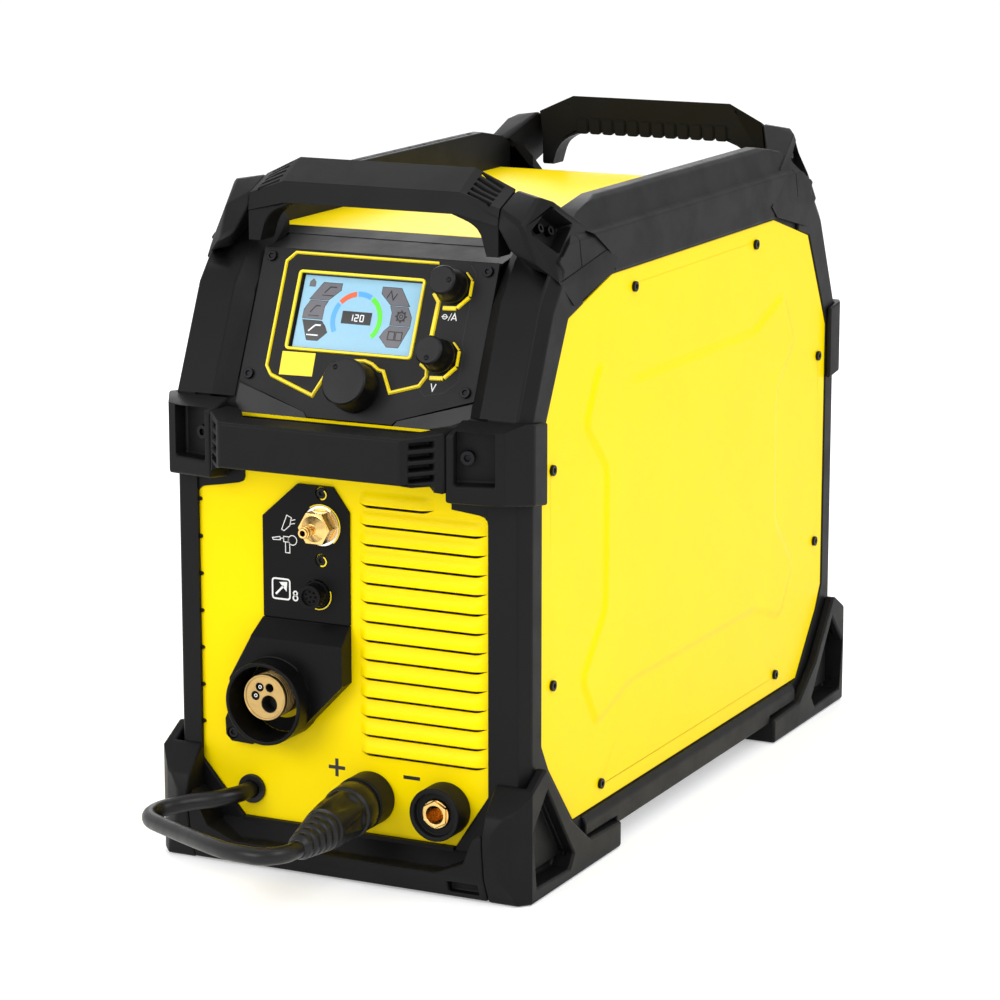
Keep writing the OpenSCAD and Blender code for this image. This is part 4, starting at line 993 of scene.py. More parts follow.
def lathe(outline: Sequence[Point2], sides: int) -> bmesh.types.BMesh:
    """A turned solid about Z.

    Args:
        outline: Radius and height of each ring, from the bottom to the top.
        sides: Faces round the solid.

    Returns:
        The mesh, in the outline's own units.
    """
    work = bmesh.new()
    rings = [[work.verts.new((r * math.cos(a), r * math.sin(a), z))
              for a in (2 * math.pi * i / sides for i in range(sides))] for r, z in outline]
    for lower, upper in zip(rings, rings[1:]):
        for i in range(sides):
            j = (i + 1) % sides
            work.faces.new((lower[i], lower[j], upper[j], upper[i]))
    if outline[0] != outline[-1]:
        work.faces.new(rings[0][::-1])
        work.faces.new(rings[-1])
    for face in work.faces:
        face.smooth = len(face.verts) == 4
    return work


def place_turned(name: str, outline: Sequence[Point2], plane: Plane, centre: Point2, finish: object,
                 sides: int = 64) -> bpy.types.Object:
    """Puts a turned piece on a plane.

    Args:
        name: The piece's name.
        outline: Radius and height of each ring, in millimetres.
        plane: The plane that it stands on.
        centre: Its axis on the plane.
        finish: Its finish.
        sides: Faces round the piece.

    Returns:
        The piece.
    """
    mesh = make_mesh(lathe(outline, sides), name, plane.matrix() @ Matrix.Translation((*centre, 0.0)))
    mesh.set_sharp_from_angle(angle=math.radians(35))
    return add_piece(name, mesh, finish, MACHINE)


# ---------------------------------------------------------------- places shared by the pieces

FRONT_FACE_MM = -287.5
PLATE_T_MM = 2.5
LEAN = math.radians(24.2)


def front_plane(out_mm: float = 0.0) -> Plane:
    """The front panel's face, or a plane that stands out from it."""
    return Plane((0.0, FRONT_FACE_MM - out_mm, 0.0), (1, 0, 0), (0, 0, 1))


CONTROL_PLANE = Plane((0.0, -238.13, 425.81), (1, 0, 0), (0, math.sin(LEAN), math.cos(LEAN)))
FRONT_PLANE = front_plane()
PLATE_PLANE = front_plane(PLATE_T_MM)


class End(Enum):
    """An end of the machine."""

    FRONT = "front"
    REAR = "rear"


# ---------------------------------------------------------------- sheet metal


def bake_sheet(piece: bpy.types.Object, thickness: float, rim: float = 0.35) -> None:
    """Gives a skin its thickness and a soft rim, and keeps its flat faces flat.

    Args:
        piece: The piece whose mesh is the sheet's outer face.
        thickness: The sheet's thickness in millimetres.
        rim: Width of the rim's rounding in millimetres.
    """
    sheet = piece.modifiers.new("sheet_thickness", "SOLIDIFY")
    sheet.thickness = thickness * MM
    sheet.offset = -1.0
    mesh = bpy.data.meshes.new_from_object(piece.evaluated_get(bpy.context.evaluated_depsgraph_get()))
    piece.modifiers.clear()
    piece.data = mesh
    mesh.set_sharp_from_angle(angle=SMOOTH_BELOW)
    soft = piece.modifiers.new("soft_rim", "BEVEL")
    soft.limit_method = "ANGLE"
    soft.angle_limit = math.radians(55)
    soft.width = rim * MM
    soft.segments = 2
    soft.harden_normals = True


@dataclass
class PressedPanel:
    """A side sheet whose raised field rises in soft pressed ramps. Places on it are (y, z)."""

    node: str
    side: float
    hole_places: Sequence[Point2]
    hole_radius: float
    sheet_t: float = 1.5
    rise: float = 1.9
    ramp: float = 8.0
    foot: float = 1.0
    steps: int = 10
    corner: float = 9.0
    field_half: Sequence[Point2] = ((-118, 115), (-174, 97), (-199, 135), (-160, 178), (-159, 280),
                                    (-195, 316), (-172, 356), (-112, 335))

    def field_outline(self) -> list[Point2]:
        """The raised field's outline, counterclockwise from its lower rear corner."""
        whole = [(-y, z) for y, z in self.field_half] + list(self.field_half)[::-1]
        return softened(whole, self.corner, 6)

    def skin(self) -> bpy.types.Mesh:
        """The sheet's outer face.

        Returns:
            Its mesh, in metres.
        """
        source = [vertex.co / MM for vertex in frame["nodes"][self.node].data.vertices]
        inside = min(abs(point.x) for point in source)
        level = inside + self.sheet_t
        border = hull((round(p.y, 2), round(p.z, 2)) for p in source
                      if abs(p.x) < level - self.sheet_t + 0.05)
        work = bmesh.new()

        def loop(points: Sequence[Point2], height: float) -> list[bmesh.types.BMVert]:
            """Adds a ring of points at a height over the sheet."""
            return [work.verts.new((self.side * (level + height), y, z)) for y, z in points]

        outline = self.field_outline()
        rings = [loop(moved_in(outline, -self.ramp / 2 - self.foot), 0.0)]
        for step in range(self.steps + 1):
            t = step / self.steps
            rings.append(loop(moved_in(outline, self.ramp * (t - 0.5)), self.rise * t * t * (3 - 2 * t)))
        rings.append(loop(moved_in(outline, self.ramp / 2 + self.foot), self.rise))
        outer = join_ring(work, loop(border, 0.0)) + join_ring(work, rings[0])
        for place in self.hole_places:
            outer += join_ring(work, loop(hole_ring(place, self.hole_radius), 0.0))
        fill_skin(work, outer)
        fill_skin(work, join_ring(work, rings[-1]))
        for first, second in zip(rings, rings[1:]):
            bridge(work, first, second)
        face_outwards(work, Vector((self.side, 0, 0)))
        return make_mesh(work, self.node + "_sheet")

    def build(self) -> None:
        """Makes the sheet."""
        piece = add_piece(self.node + "_pressed", self.skin(), YELLOW_COAT, body_of(self.node))
        bake_sheet(piece, self.sheet_t)
        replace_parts(piece, self.node)
        log.info("pressed %s", self.node)


@dataclass
class FrontSheet:
    """The front panel, with louvres that fade into the sheet at their ends. Places are (x, z)."""

    count: int = 14
    pitch: float = 13.6
    top_z: float = 267.7
    left: float = 9.5
    right: float = 108.2
    short_right: float = 68.0
    lip: float = 3.0
    gap: float = 3.2
    hood: float = 9.4
    fade: float = 11.0
    margin: float = 1.0
    foot: float = 1.5
    sheet_t: float = 1.5
    hood_steps: Sequence[float] = (0.0, 0.12, 0.26, 0.42, 0.6, 0.78, 0.92, 1.0)
    outline: Sequence[Point2] = ((-84, 31.8), (84, 31.8), (112, 71), (131.5, 80), (131.5, 311), (112, 323),
                                 (-112, 323), (-131.5, 311), (-131.5, 80), (-119, 71))
    holes: Sequence[tuple[float, float, float]] = (
        (-20, 248.5, 6), (-23, 200, 7), (-51.5, 128.5, 14.5), (17, 58, 13), (76, 58, 13), (-78, 52, 8.5),
        (-19, 272, 2), (-19.6, 224.4, 2), (-88.6, 93.7, 2))

    def ease(self, x: float, right: float) -> float:
        """How much of its depth a louvre has at a place along it, from 0 at its ends to 1."""
        share = min((x - self.left) / (self.fade * 0.6), (right - x) / self.fade)
        return math.sin(min(1.0, max(0.0, share)) * math.pi / 2) ** 1.2

    def columns(self) -> list[float]:
        """Places across the louvres, closer together where they end.

        Returns:
            The places, from left to right.
        """
        near = [self.left + self.fade * 0.6 * i / 7 for i in range(8)]
        short = [self.short_right - self.fade * (1 - i / 6) for i in range(7)]
        end = [self.right - self.fade * (1 - i / 10) for i in range(11)]
        return ([self.left - self.margin] + near + [25.0, 35.0, 45.0, 52.0] + short + [76.0, 86.0] + end
                + [self.right + self.margin])

    def louvres(self, work: bmesh.types.BMesh) -> list[bmesh.types.BMVert]:
        """Adds the louvres, with a slit under each.

        Args:
            work: The mesh that they are added to.

        Returns:
            The points round them, in order.
        """
        columns = self.columns()
        flat = [0.0] * len(columns)
        top = self.top_z + self.hood + self.margin
        bottom = self.top_z - (self.count - 1) * self.pitch - self.gap - self.foot
        touch = 1e-3

        def row(heights: Sequence[float], depths: Sequence[float]) -> list[bmesh.types.BMVert]:
            """Adds a row of points across the louvres."""
            places = zip(columns, heights, depths)
            return [work.verts.new((x, FRONT_FACE_MM - out, z)) for x, z, out in places]

        def join(upper: Sequence[bmesh.types.BMVert], lower: Sequence[bmesh.types.BMVert]) -> None:
            """Fills between two rows."""
            for i in range(len(columns) - 1):
                work.faces.new((upper[i], lower[i], lower[i + 1], upper[i + 1]))

        above = row([top] * len(columns), flat)
        for number in range(self.count):
            right = self.short_right if number == 0 else self.right
            lip_z = self.top_z - number * self.pitch
            depth = [self.ease(x, right) for x in columns]
            for share in self.hood_steps:
                rise = 1.15 * share ** 2 / (share ** 2 + 0.15)
                height = lip_z + self.hood * (1 - share)
                below = row([height] * len(columns), [self.lip * d * rise for d in depth])
                join(above, below)
                above = below
            join(above, row([lip_z - 0.7 * d for d in depth], [self.lip * d - 0.45 * d for d in depth]))
            above = row([lip_z - self.gap * d for d in depth], flat)
        join(above, row([bottom] * len(columns), flat))
        bmesh.ops.remove_doubles(work, verts=work.verts, dist=0.002)
        left_side = [v for v in work.verts if abs(v.co.x - columns[0]) < touch]
        right_side = [v for v in work.verts if abs(v.co.x - columns[-1]) < touch]
        inner = [v for v in work.verts if columns[0] + touch < v.co.x < columns[-1] - touch]
        upper = sorted((v for v in inner if v.co.z > top - touch), key=lambda v: v.co.x)
        lower = sorted((v for v in inner if v.co.z < bottom + touch), key=lambda v: -v.co.x)
        return (sorted(left_side, key=lambda v: v.co.z) + upper
                + sorted(right_side, key=lambda v: -v.co.z) + lower)

    def build(self) -> None:
        """Makes the panel."""
        work = bmesh.new()
        border = self.louvres(work)

        def loop(points: Sequence[Point2]) -> list[bmesh.types.BMEdge]:
            """Adds a ring on the panel's face."""
            return join_ring(work, [work.verts.new((x, FRONT_FACE_MM, z)) for x, z in points])

        edges = join_ring(work, border) + loop(self.outline)
        for x, z, radius in self.holes:
            edges += loop(hole_ring((x, z), radius))
        fill_skin(work, edges)
        face_outwards(work, Vector((0, -1, 0)))
        piece = add_piece("front_sheet", make_mesh(work, "front_sheet"), YELLOW_COAT, MACHINE)
        bake_sheet(piece, self.sheet_t, 0.2)
        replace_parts(piece, "front_panel")
        log.info("pressed the front sheet with %d louvres", self.count)


@dataclass
class SheetMetal:
    """The yellow sheets, the pressed side panels and the zinc chassis."""

    edge_mm: float = 0.45
    screws: Sequence[Point2] = ((-113, 402), (113, 402), (-248, 294.7), (248, 294.7), (-247, 143), (247, 143),
                                (-166, 51), (166, 51))
    screw_hole_r: float = 2.05
    latches: Sequence[Point2] = ((-120, 65), (120, 65))
    latch_hole_r: float = 4.1

    def build(self) -> None:
        """Makes and dresses every sheet."""
        FrontSheet().build()
        dress_all((node, YELLOW_COAT, self.edge_mm, 2) for node in ("rear_panel", "top_cover"))
        PressedPanel("side_panel_right", 1.0, self.screws, self.screw_hole_r).build()
        PressedPanel("left_door", -1.0, self.latches, self.latch_hole_r).build()
        dress_all((node, ZINC, self.edge_mm, 2) for node in ("chassis_tray", "divider_wall"))


# ---------------------------------------------------------------- mouldings


@dataclass
class Mouldings:
    """The black end frames, rails, feet, bumpers and handles."""

    radii_mm: dict[str, float] = field(default_factory=lambda: {
        "front_frame": 1.6, "rear_frame": 1.6, "feet": 2.2, "base_rails": 1.6, "bumper_front": 2.4,
        "bumper_rear": 2.4, "bumper_brackets": 2.0, "handle_front": 5.0, "handle_rear": 5.0,
        "handle_brackets": 2.4, "top_rail_right": 1.4, "top_rail_left": 1.4, "door_rail": 1.4})
    rows: Sequence[DressRow] = (("handle_cowls", COWL_BLACK, 0.8, 2), ("bracket_screws", BLACK_OXIDE, 0.4, 2),
                                ("cover_screws", BLACK_OXIDE, 0.4, 2))
    widen_left: float = 5.5
    widen_right: float = 2.5
    rib_count: int = 12
    rib_pitch: float = 11.0
    rib_w: float = 9.6
    rib_low: float = -2.5
    rib_waist: float = 0.8
    rib_high: float = 1.5
    step_section: Sequence[Point2] = (
        (136.6, 417.6), (137.9, 417.6), (138.3, 418.4), (137.4, 432.0), (136.8, 446.8), (136.4, 448.0),
        (135.6, 448.7), (130.8, 450.8), (130.2, 450.6), (130.2, 444.0))
    lip_outline: Sequence[Point2] = (
        (-120, 320.9), (-120, 256), (-118.2, 256), (-118.2, 262), (-117.4, 265.2), (-115, 267.6),
        (-112, 268.6), (-98.2, 270.8), (-84.5, 273.4), (-81.6, 274.8), (-80.3, 277.5), (-80.3, 300),
        (81.3, 300), (81.3, 270.1), (102.6, 267.9), (106.2, 266.8), (108.4, 264.4), (109, 261), (109, 256),
        (120, 256), (120, 321.6))
    tab_count: int = 7
    tab_pitch: float = 26.95
    tab_top_z: float = 258.6
    tab_shape: Sequence[Point2] = ((-119, -1.6), (-116.4, -1.4), (-115.4, -0.6), (-115.4, 0.6), (-116.4, 1.4),
                                   (-119, 1.6))

    def build(self) -> None:
        """Dresses every moulding."""
        for node, radius in self.radii_mm.items():
            dress(node, BLACK_MOULDING, radius, 3, reshape=self.widen if node == "front_frame" else None)
        self.opening()
        self.grips()
        self.rail_steps()
        dress_all(self.rows)

    def widen(self, place: Vector) -> Vector:
        """Moves the sides of the front frame's opening to where its lip ends, in millimetres."""
        if place.y < -286 and 60 < place.z < 338 and 111.9 < abs(place.x) < 114.1:
            return place - Vector((self.widen_left if place.x < 0 else self.widen_right, 0, 0))
        return place

    def grips(self) -> None:
        """The ribbed grip along the inner lower edge of each handle."""
        for end, way in ((End.FRONT, -1.0), (End.REAR, 1.0)):
            face = Plane((0.0, way * 228.0, 466.0), (way, 0, 0), (0, -0.1029 * way, 0.9947))
            grip = Print(f"grip_{end.value}", face, BLACK_MOULDING, "black_plastic", 0.0, 0.0)
            for i in range(self.rib_count):
                x = -65.4 + i * self.rib_pitch
                rib = softened(rectangle(x, -1.7, x + self.rib_w, 11.0), 2.4, 4)
                grip.low, grip.high = self.rib_low, self.rib_waist
                grip.area(rib)
                grip.low, grip.high = self.rib_waist, self.rib_high
                grip.area(moved_in(rib, 0.8))
            grip.finish_piece()

    def rail_steps(self) -> None:
        """The stepped band along the foot of each top rail."""
        for name, side, half, spread, body in (("rail_step_right", 1.0, 147.0, 1.64, MACHINE),
                                               ("rail_step_left", -1.0, 133.0, 0.0, "door")):
            work = bmesh.new()
            ends = [[work.verts.new((side * x, end * (half + max(0.0, z - 428.0) * spread), z))
                     for x, z in self.step_section] for end in (-1, 1)]
            work.faces.new(ends[0])
            work.faces.new(ends[1][::-1])
            bridge(work, *ends)
            bmesh.ops.recalc_face_normals(work, faces=work.faces)
            add_piece(name, make_mesh(work, name), BLACK_MOULDING, body)

    def opening(self) -> None:
        """The front frame's thin lip round the top of the panel, and the tabs down its left side."""
        lip = Print("frame_lip", FRONT_PLANE, BLACK_MOULDING, "black_plastic", 0.0, 1.6)
        lip.area(self.lip_outline)
        for i in range(self.tab_count):
            z = self.tab_top_z - i * self.tab_pitch
            lip.area([(x, z + up) for x, up in self.tab_shape])
        lip.finish_piece()


# ---------------------------------------------------------------- control panel


@dataclass
class ControlPanel:
    """Panel plate, display, trim, labels and knobs. Places are across and up its face."""

    trim_h: float = 1.3
    display_mid: Point2 = (-10.85, -36.95)
    display_w: float = 94.9
    display_h: float = 53.3
    bezel_rim: float = 2.3
    small_knobs: tuple[Point2, Point2] = ((60.5, -12.7), (60.5, -62.2))
    knob_corners: Sequence[Point2] = ((7.6, 11.2), (13.2, 5.6), (13.4, -5.8), (5.3, -14.5), (-5.3, -15.0))
    knob_widths: Sequence[float] = (1.6, 2.2, 2.9, 3.4)
    plates: Sequence[DressRow] = (("control_panel", PANEL_BLACK, 0.5, 2),
                                  ("rear_fascia", PANEL_BLACK, 0.5, 2))
    knobs: Sequence[DressRow] = (
        ("knob_main", KNOB_BLACK, 0.8, 3), ("knob_upper", KNOB_BLACK, 0.8, 3),
        ("knob_lower", KNOB_BLACK, 0.8, 3), ("encoder_shaft", BRIGHT_STEEL, 0.3, 2),
        ("encoders", BRIGHT_STEEL, 0.3, 2))

    def build(self) -> None:
        """Dresses the panel and adds what is printed or set in it."""
        dress_all(self.plates)
        self.bezel()
        self.wedges()
        dress_all(self.knobs)
        self.trim()
        self.labels()
        self.display()

    def printing(self, name: str, finish: object, low: float, high: float, slot: str) -> Print:
        """Starts artwork on the panel."""
        return Print(name, CONTROL_PLANE, finish, slot, low, high)

    def bezel(self) -> None:
        """The yellow frame round the display, with rounded corners."""
        half_w, half_h = (self.display_w + self.bezel_rim) / 2, (self.display_h + self.bezel_rim) / 2
        x, y = self.display_mid
        corners = softened(rectangle(x - half_w, y - half_h, x + half_w, y + half_h), 2.4, 6)
        bezel = self.printing("display_frame", TRIM_YELLOW, -0.6, self.trim_h, "bezel_yellow")
        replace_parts(bezel.line(corners, self.bezel_rim, True, 0.35).finish_piece(), "display_bezel")

    def wedges(self) -> None:
        """The two corner plates under the panel, a little lighter than the rest."""
        plates = self.printing("panel_wedges", WEDGE_BLACK, -0.4, 0.3, "black_plastic")
        plates.area([(-90.3, -92.4), (-36.0, -109.0), (-31.8, -114.6), (-84.0, -114.8), (-90.5, -106.0)])
        plates.area([(33.2, -114.6), (37.0, -109.3), (91.0, -92.9), (91.4, -103.2), (77.5, -109.0),
                     (52.0, -114.8)])
        plates.finish_piece()

    def trim(self) -> None:
        """The raised yellow outline and the segments round the small knobs."""
        trim = self.printing("panel_trim", TRIM_YELLOW, -0.2, self.trim_h, "bezel_yellow")
        trim.line([(46.4, 3.7), (-65.5, 4.0), (-72.0, -2.6), (-71.8, -78.6), (-67.2, -84.8)], 2.3, slope=0.5)
        trim.line([(-67.2, -84.8), (-31.9, -96.9), (-25.9, -83.8), (-21.5, -77.0)], 3.0, slope=0.9)
        trim.line([(-6.0, -70.0), (3.4, -69.3), (9.7, -71.2), (15.0, -74.8), (19.0, -75.4), (27.0, -90.0),
                   (48.1, -83.4), (52.4, -76.2), (51.6, -71.3), (46.4, -68.0)], 2.9, slope=0.9)
        trim.line([(46.6, -18.0), (51.2, -23.4), (50.6, -50.0)], 3.6, slope=0.7)
        for knob in self.small_knobs:
            corners = [Vector(corner) for corner in self.knob_corners]
            for first, second, width in zip(corners, corners[1:], self.knob_widths):
                gap = (second - first).normalized() * 0.35
                ends = [tuple(Vector(knob) + first + gap), tuple(Vector(knob) + second - gap)]
                trim.line(ends, width, slope=0.5)
        trim.finish_piece()
        seam = self.printing("panel_seam", NEAR_BLACK_AND_BORE_SHADE, -0.02, 0.05, "black_plastic")
        seam.line([(70.4, 3.7), (75.4, -1.9), (75.0, -24.0), (74.6, -50.8), (77.2, -57.0), (77.0, -78.0),
                   (68.0, -86.6), (53.4, -90.0), (49.4, -86.5)], 0.35).finish_piece()

    def labels(self) -> None:
        """A and V beside the small knobs, and a bare badge."""
        ink = self.printing("panel_labels", WHITE_INK, -0.05, 0.1, "bezel_yellow")
        ink.line([(63.0, -35.8), (65.0, -31.0), (67.0, -35.8)], 0.75)
        ink.line([(63.6, -34.4), (66.4, -34.4)], 0.6)
        ink.line([(60.8, -36.2), (62.6, -30.8)], 0.5).ring((57.8, -33.6), 1.6, 0.55, 20)
        ink.line([(55.3, -33.6), (60.3, -33.6)], 0.55)
        ink.line([(57.1, -80.9), (59.0, -86.0), (60.9, -80.9)], 0.75)
        ink.finish_piece()
        badge = self.printing("blank_badge", TRIM_YELLOW, -0.1, 0.3, "bezel_yellow")
        badge.area([(-61.0, -84.0), (-34.9, -83.6), (-35.4, -67.0), (-61.5, -67.3)]).finish_piece()

    def display(self) -> None:
        """The screen, with its liner and its picture."""
        Screen(self.display_mid, self.display_w / 2, self.display_h / 2).build()
        dress("display_screen", SCREEN_BODY, 0.2, 1)


@dataclass
class Screen:
    """The screen's picture: a banded gauge between two columns of tiles. Places are from its middle."""

    middle: Point2
    half_w: float
    half_h: float
    glass_mm: float = -2.95
    layer_mm: float = 0.05
    ink_mm: float = 0.04
    gauge: Point2 = (0.0, -3.0)
    gauge_r: float = 18.2
    band_w: float = 3.6
    bands: Sequence[tuple[str, Colour, float, float]] = (
        ("screen_low", (0.08, 0.36, 0.85), 212, 146), ("screen_start", (0.75, 0.11, 0.03), 142, 100),
        ("screen_set", (0.08, 0.36, 0.85), 96, 62), ("screen_high", (0.1, 0.7, 0.02), 58, -40))
    upper: Sequence[Point2] = ((-39.0, 9.2), (-30.5, 21.5), (-16.0, 21.5), (-16.0, 16.8), (-24.5, 9.2))
    centre: Sequence[Point2] = ((-42.0, -4.8), (-42.0, 1.5), (-38.2, 8.2), (-24.6, 8.2), (-26.6, 4.0),
                                (-26.6, -4.8))
    lower: Sequence[Point2] = ((-42.0, -5.8), (-26.6, -5.8), (-23.0, -9.5), (-20.5, -14.0), (-27.0, -20.5),
                               (-36.0, -20.5))
    wheel: Point2 = (34.0, 1.6)
    digits: str = "120"
    bars: dict[str, str] = field(default_factory=lambda: {"0": "abcdef", "1": "bc", "2": "abged"})

    def at(self, points: Iterable[Point2]) -> list[Point2]:
        """Moves points from the screen's middle to the panel."""
        return [(self.middle[0] + x, self.middle[1] + y) for x, y in points]

    def layer(self, name: str, finish: object, level: int) -> Print:
        """Starts artwork on the screen, at a level of thin layers."""
        top = self.glass_mm + self.layer_mm * level
        return Print(name, CONTROL_PLANE, finish, "screen", top - self.ink_mm, top)

    def build(self) -> None:
        """Makes the dark edge with painted shade at its left, the ground, the tiles, the gauge, the signs and
        the liner.
        """
        whole = self.at(rectangle(-self.half_w, -self.half_h, self.half_w, self.half_h))
        # The dark layer is the screen's own thin border, and the wider strip that the ground leaves at the
        # left is painted shade of the recess wall.
        self.layer("screen_edge_and_painted_shade", SCREEN_DARK, 0).area(whole).finish_piece()
        self.layer("screen_ground", SCREEN_BLUE, 1).area(self.at(rectangle(
            -self.half_w + 1.6, -self.half_h + 0.3, self.half_w - 0.3, self.half_h - 0.5))).finish_piece()
        self.tiles()
        for name, colour, start, end in self.bands:
            band = self.layer(name, Ink(name, colour, 0.12, 0.1), 4)
            band.line(self.at(arc(self.gauge, self.gauge_r, start, end, 16)), self.band_w).finish_piece()
        self.layer("screen_box", SCREEN_DARK, 5).area(
            self.at(rectangle(-11.5, -6.5, 11.5, 2.5))).finish_piece()
        self.marks()
        self.glyphs()
        liner = Print("screen_liner", CONTROL_PLANE, NEAR_BLACK_AND_BORE_SHADE, "black_plastic", -2.9, -0.25)
        liner.line(whole, 0.5, True).finish_piece()

    def tiles(self) -> None:
        """Three tiles on each side, one of them dark, and a small house."""

        def mirrored(points: Iterable[Point2]) -> list[Point2]:
            """The points on the other side of the screen's middle."""
            return [(-x, y) for x, y in points]

        outline = self.layer("screen_outline", SCREEN_DARK, 2)
        tiles = self.layer("screen_tiles", SCREEN_TILE, 3)
        for shape in (self.upper, self.centre, mirrored(self.upper), mirrored(self.centre),
                      mirrored(self.lower)):
            tiles.area(self.at(shape))
            outline.line(self.at(shape), 0.7, True)
        outline.area(self.at(self.lower)).finish_piece()
        house = [(-41.5, 18.0), (-36.5, 18.0), (-36.5, 21.5), (-39.0, 24.0), (-41.5, 21.5)]
        tiles.area(self.at(house)).finish_piece()

    def marks(self) -> None:
        """The white number in the gauge and the lines on the dark tile."""
        marks = self.layer("screen_marks", SCREEN_WHITE, 6)
        for i, digit in enumerate(self.digits):
            self.digit(marks, (-5.4 + i * 4.2, -4.2), digit, 2.4, 4.4, 0.75)
        for points, width in (([(-36.5, -16.5), (-27.5, -16.5)], 0.9), ([(-35.5, -13.8), (-30.5, -9.0)], 1.1),
                              ([(-31.2, -9.2), (-26.5, -9.2)], 1.1)):
            marks.line(self.at(points), width)
        marks.finish_piece()

    def glyphs(self) -> None:
        """The dark signs on the grey tiles: two slopes, a zigzag, a toothed wheel and two leaves."""
        glyphs = self.layer("screen_glyphs", SCREEN_DARK, 6)
        for points, width in (
                ([(-30.0, 12.4), (-20.5, 12.4)], 0.6), ([(-28.5, 14.2), (-24.5, 18.6), (-19.5, 18.6)], 0.8),
                ([(-38.0, -2.6), (-29.5, -2.6)], 0.6), ([(-37.0, -0.4), (-33.0, 4.6), (-29.5, 4.6)], 0.8),
                ([(20.5, 14.0), (23.0, 19.0), (25.5, 12.8), (28.0, 17.6)], 0.7)):
            glyphs.line(self.at(points), width)
        wheel = self.at([self.wheel])[0]
        glyphs.ring(wheel, 3.0, 1.1, 16).ring(wheel, 1.2, 0.7, 12)
        for step in range(8):
            a = math.radians(45 * step)
            tooth = [(self.wheel[0] + r * math.cos(a), self.wheel[1] + r * math.sin(a)) for r in (3.2, 4.5)]
            glyphs.line(self.at(tooth), 1.1)
        for side in (-1, 1):
            x = 32.0 + side * 2.9
            glyphs.line(self.at(rectangle(x - 2.4, -15.4, x + 2.4, -9.6)), 0.7, True)
        glyphs.finish_piece()

    def digit(self, ink: Print, corner: Point2, digit: str, width: float, height: float,
              line: float) -> None:
        """Draws a plain seven-bar digit.

        Args:
            ink: The artwork that it is added to.
            corner: Its lower left corner, from the screen's middle.
            digit: The digit.
            width: Its width.
            height: Its height.
            line: Width of its bars.
        """
        (x, y), w, h = self.at([corner])[0], width, height
        ends = {"a": ((0, h), (w, h)), "b": ((w, h), (w, h / 2)), "c": ((w, h / 2), (w, 0)),
                "d": ((0, 0), (w, 0)), "e": ((0, 0), (0, h / 2)), "f": ((0, h / 2), (0, h)),
                "g": ((0, h / 2), (w, h / 2))}
        for bar in self.bars[digit]:
            (x0, y0), (x1, y1) = ends[bar]
            ink.line([(x + x0, y + y0), (x + x1, y + y1)], line)


# ---------------------------------------------------------------- front connections


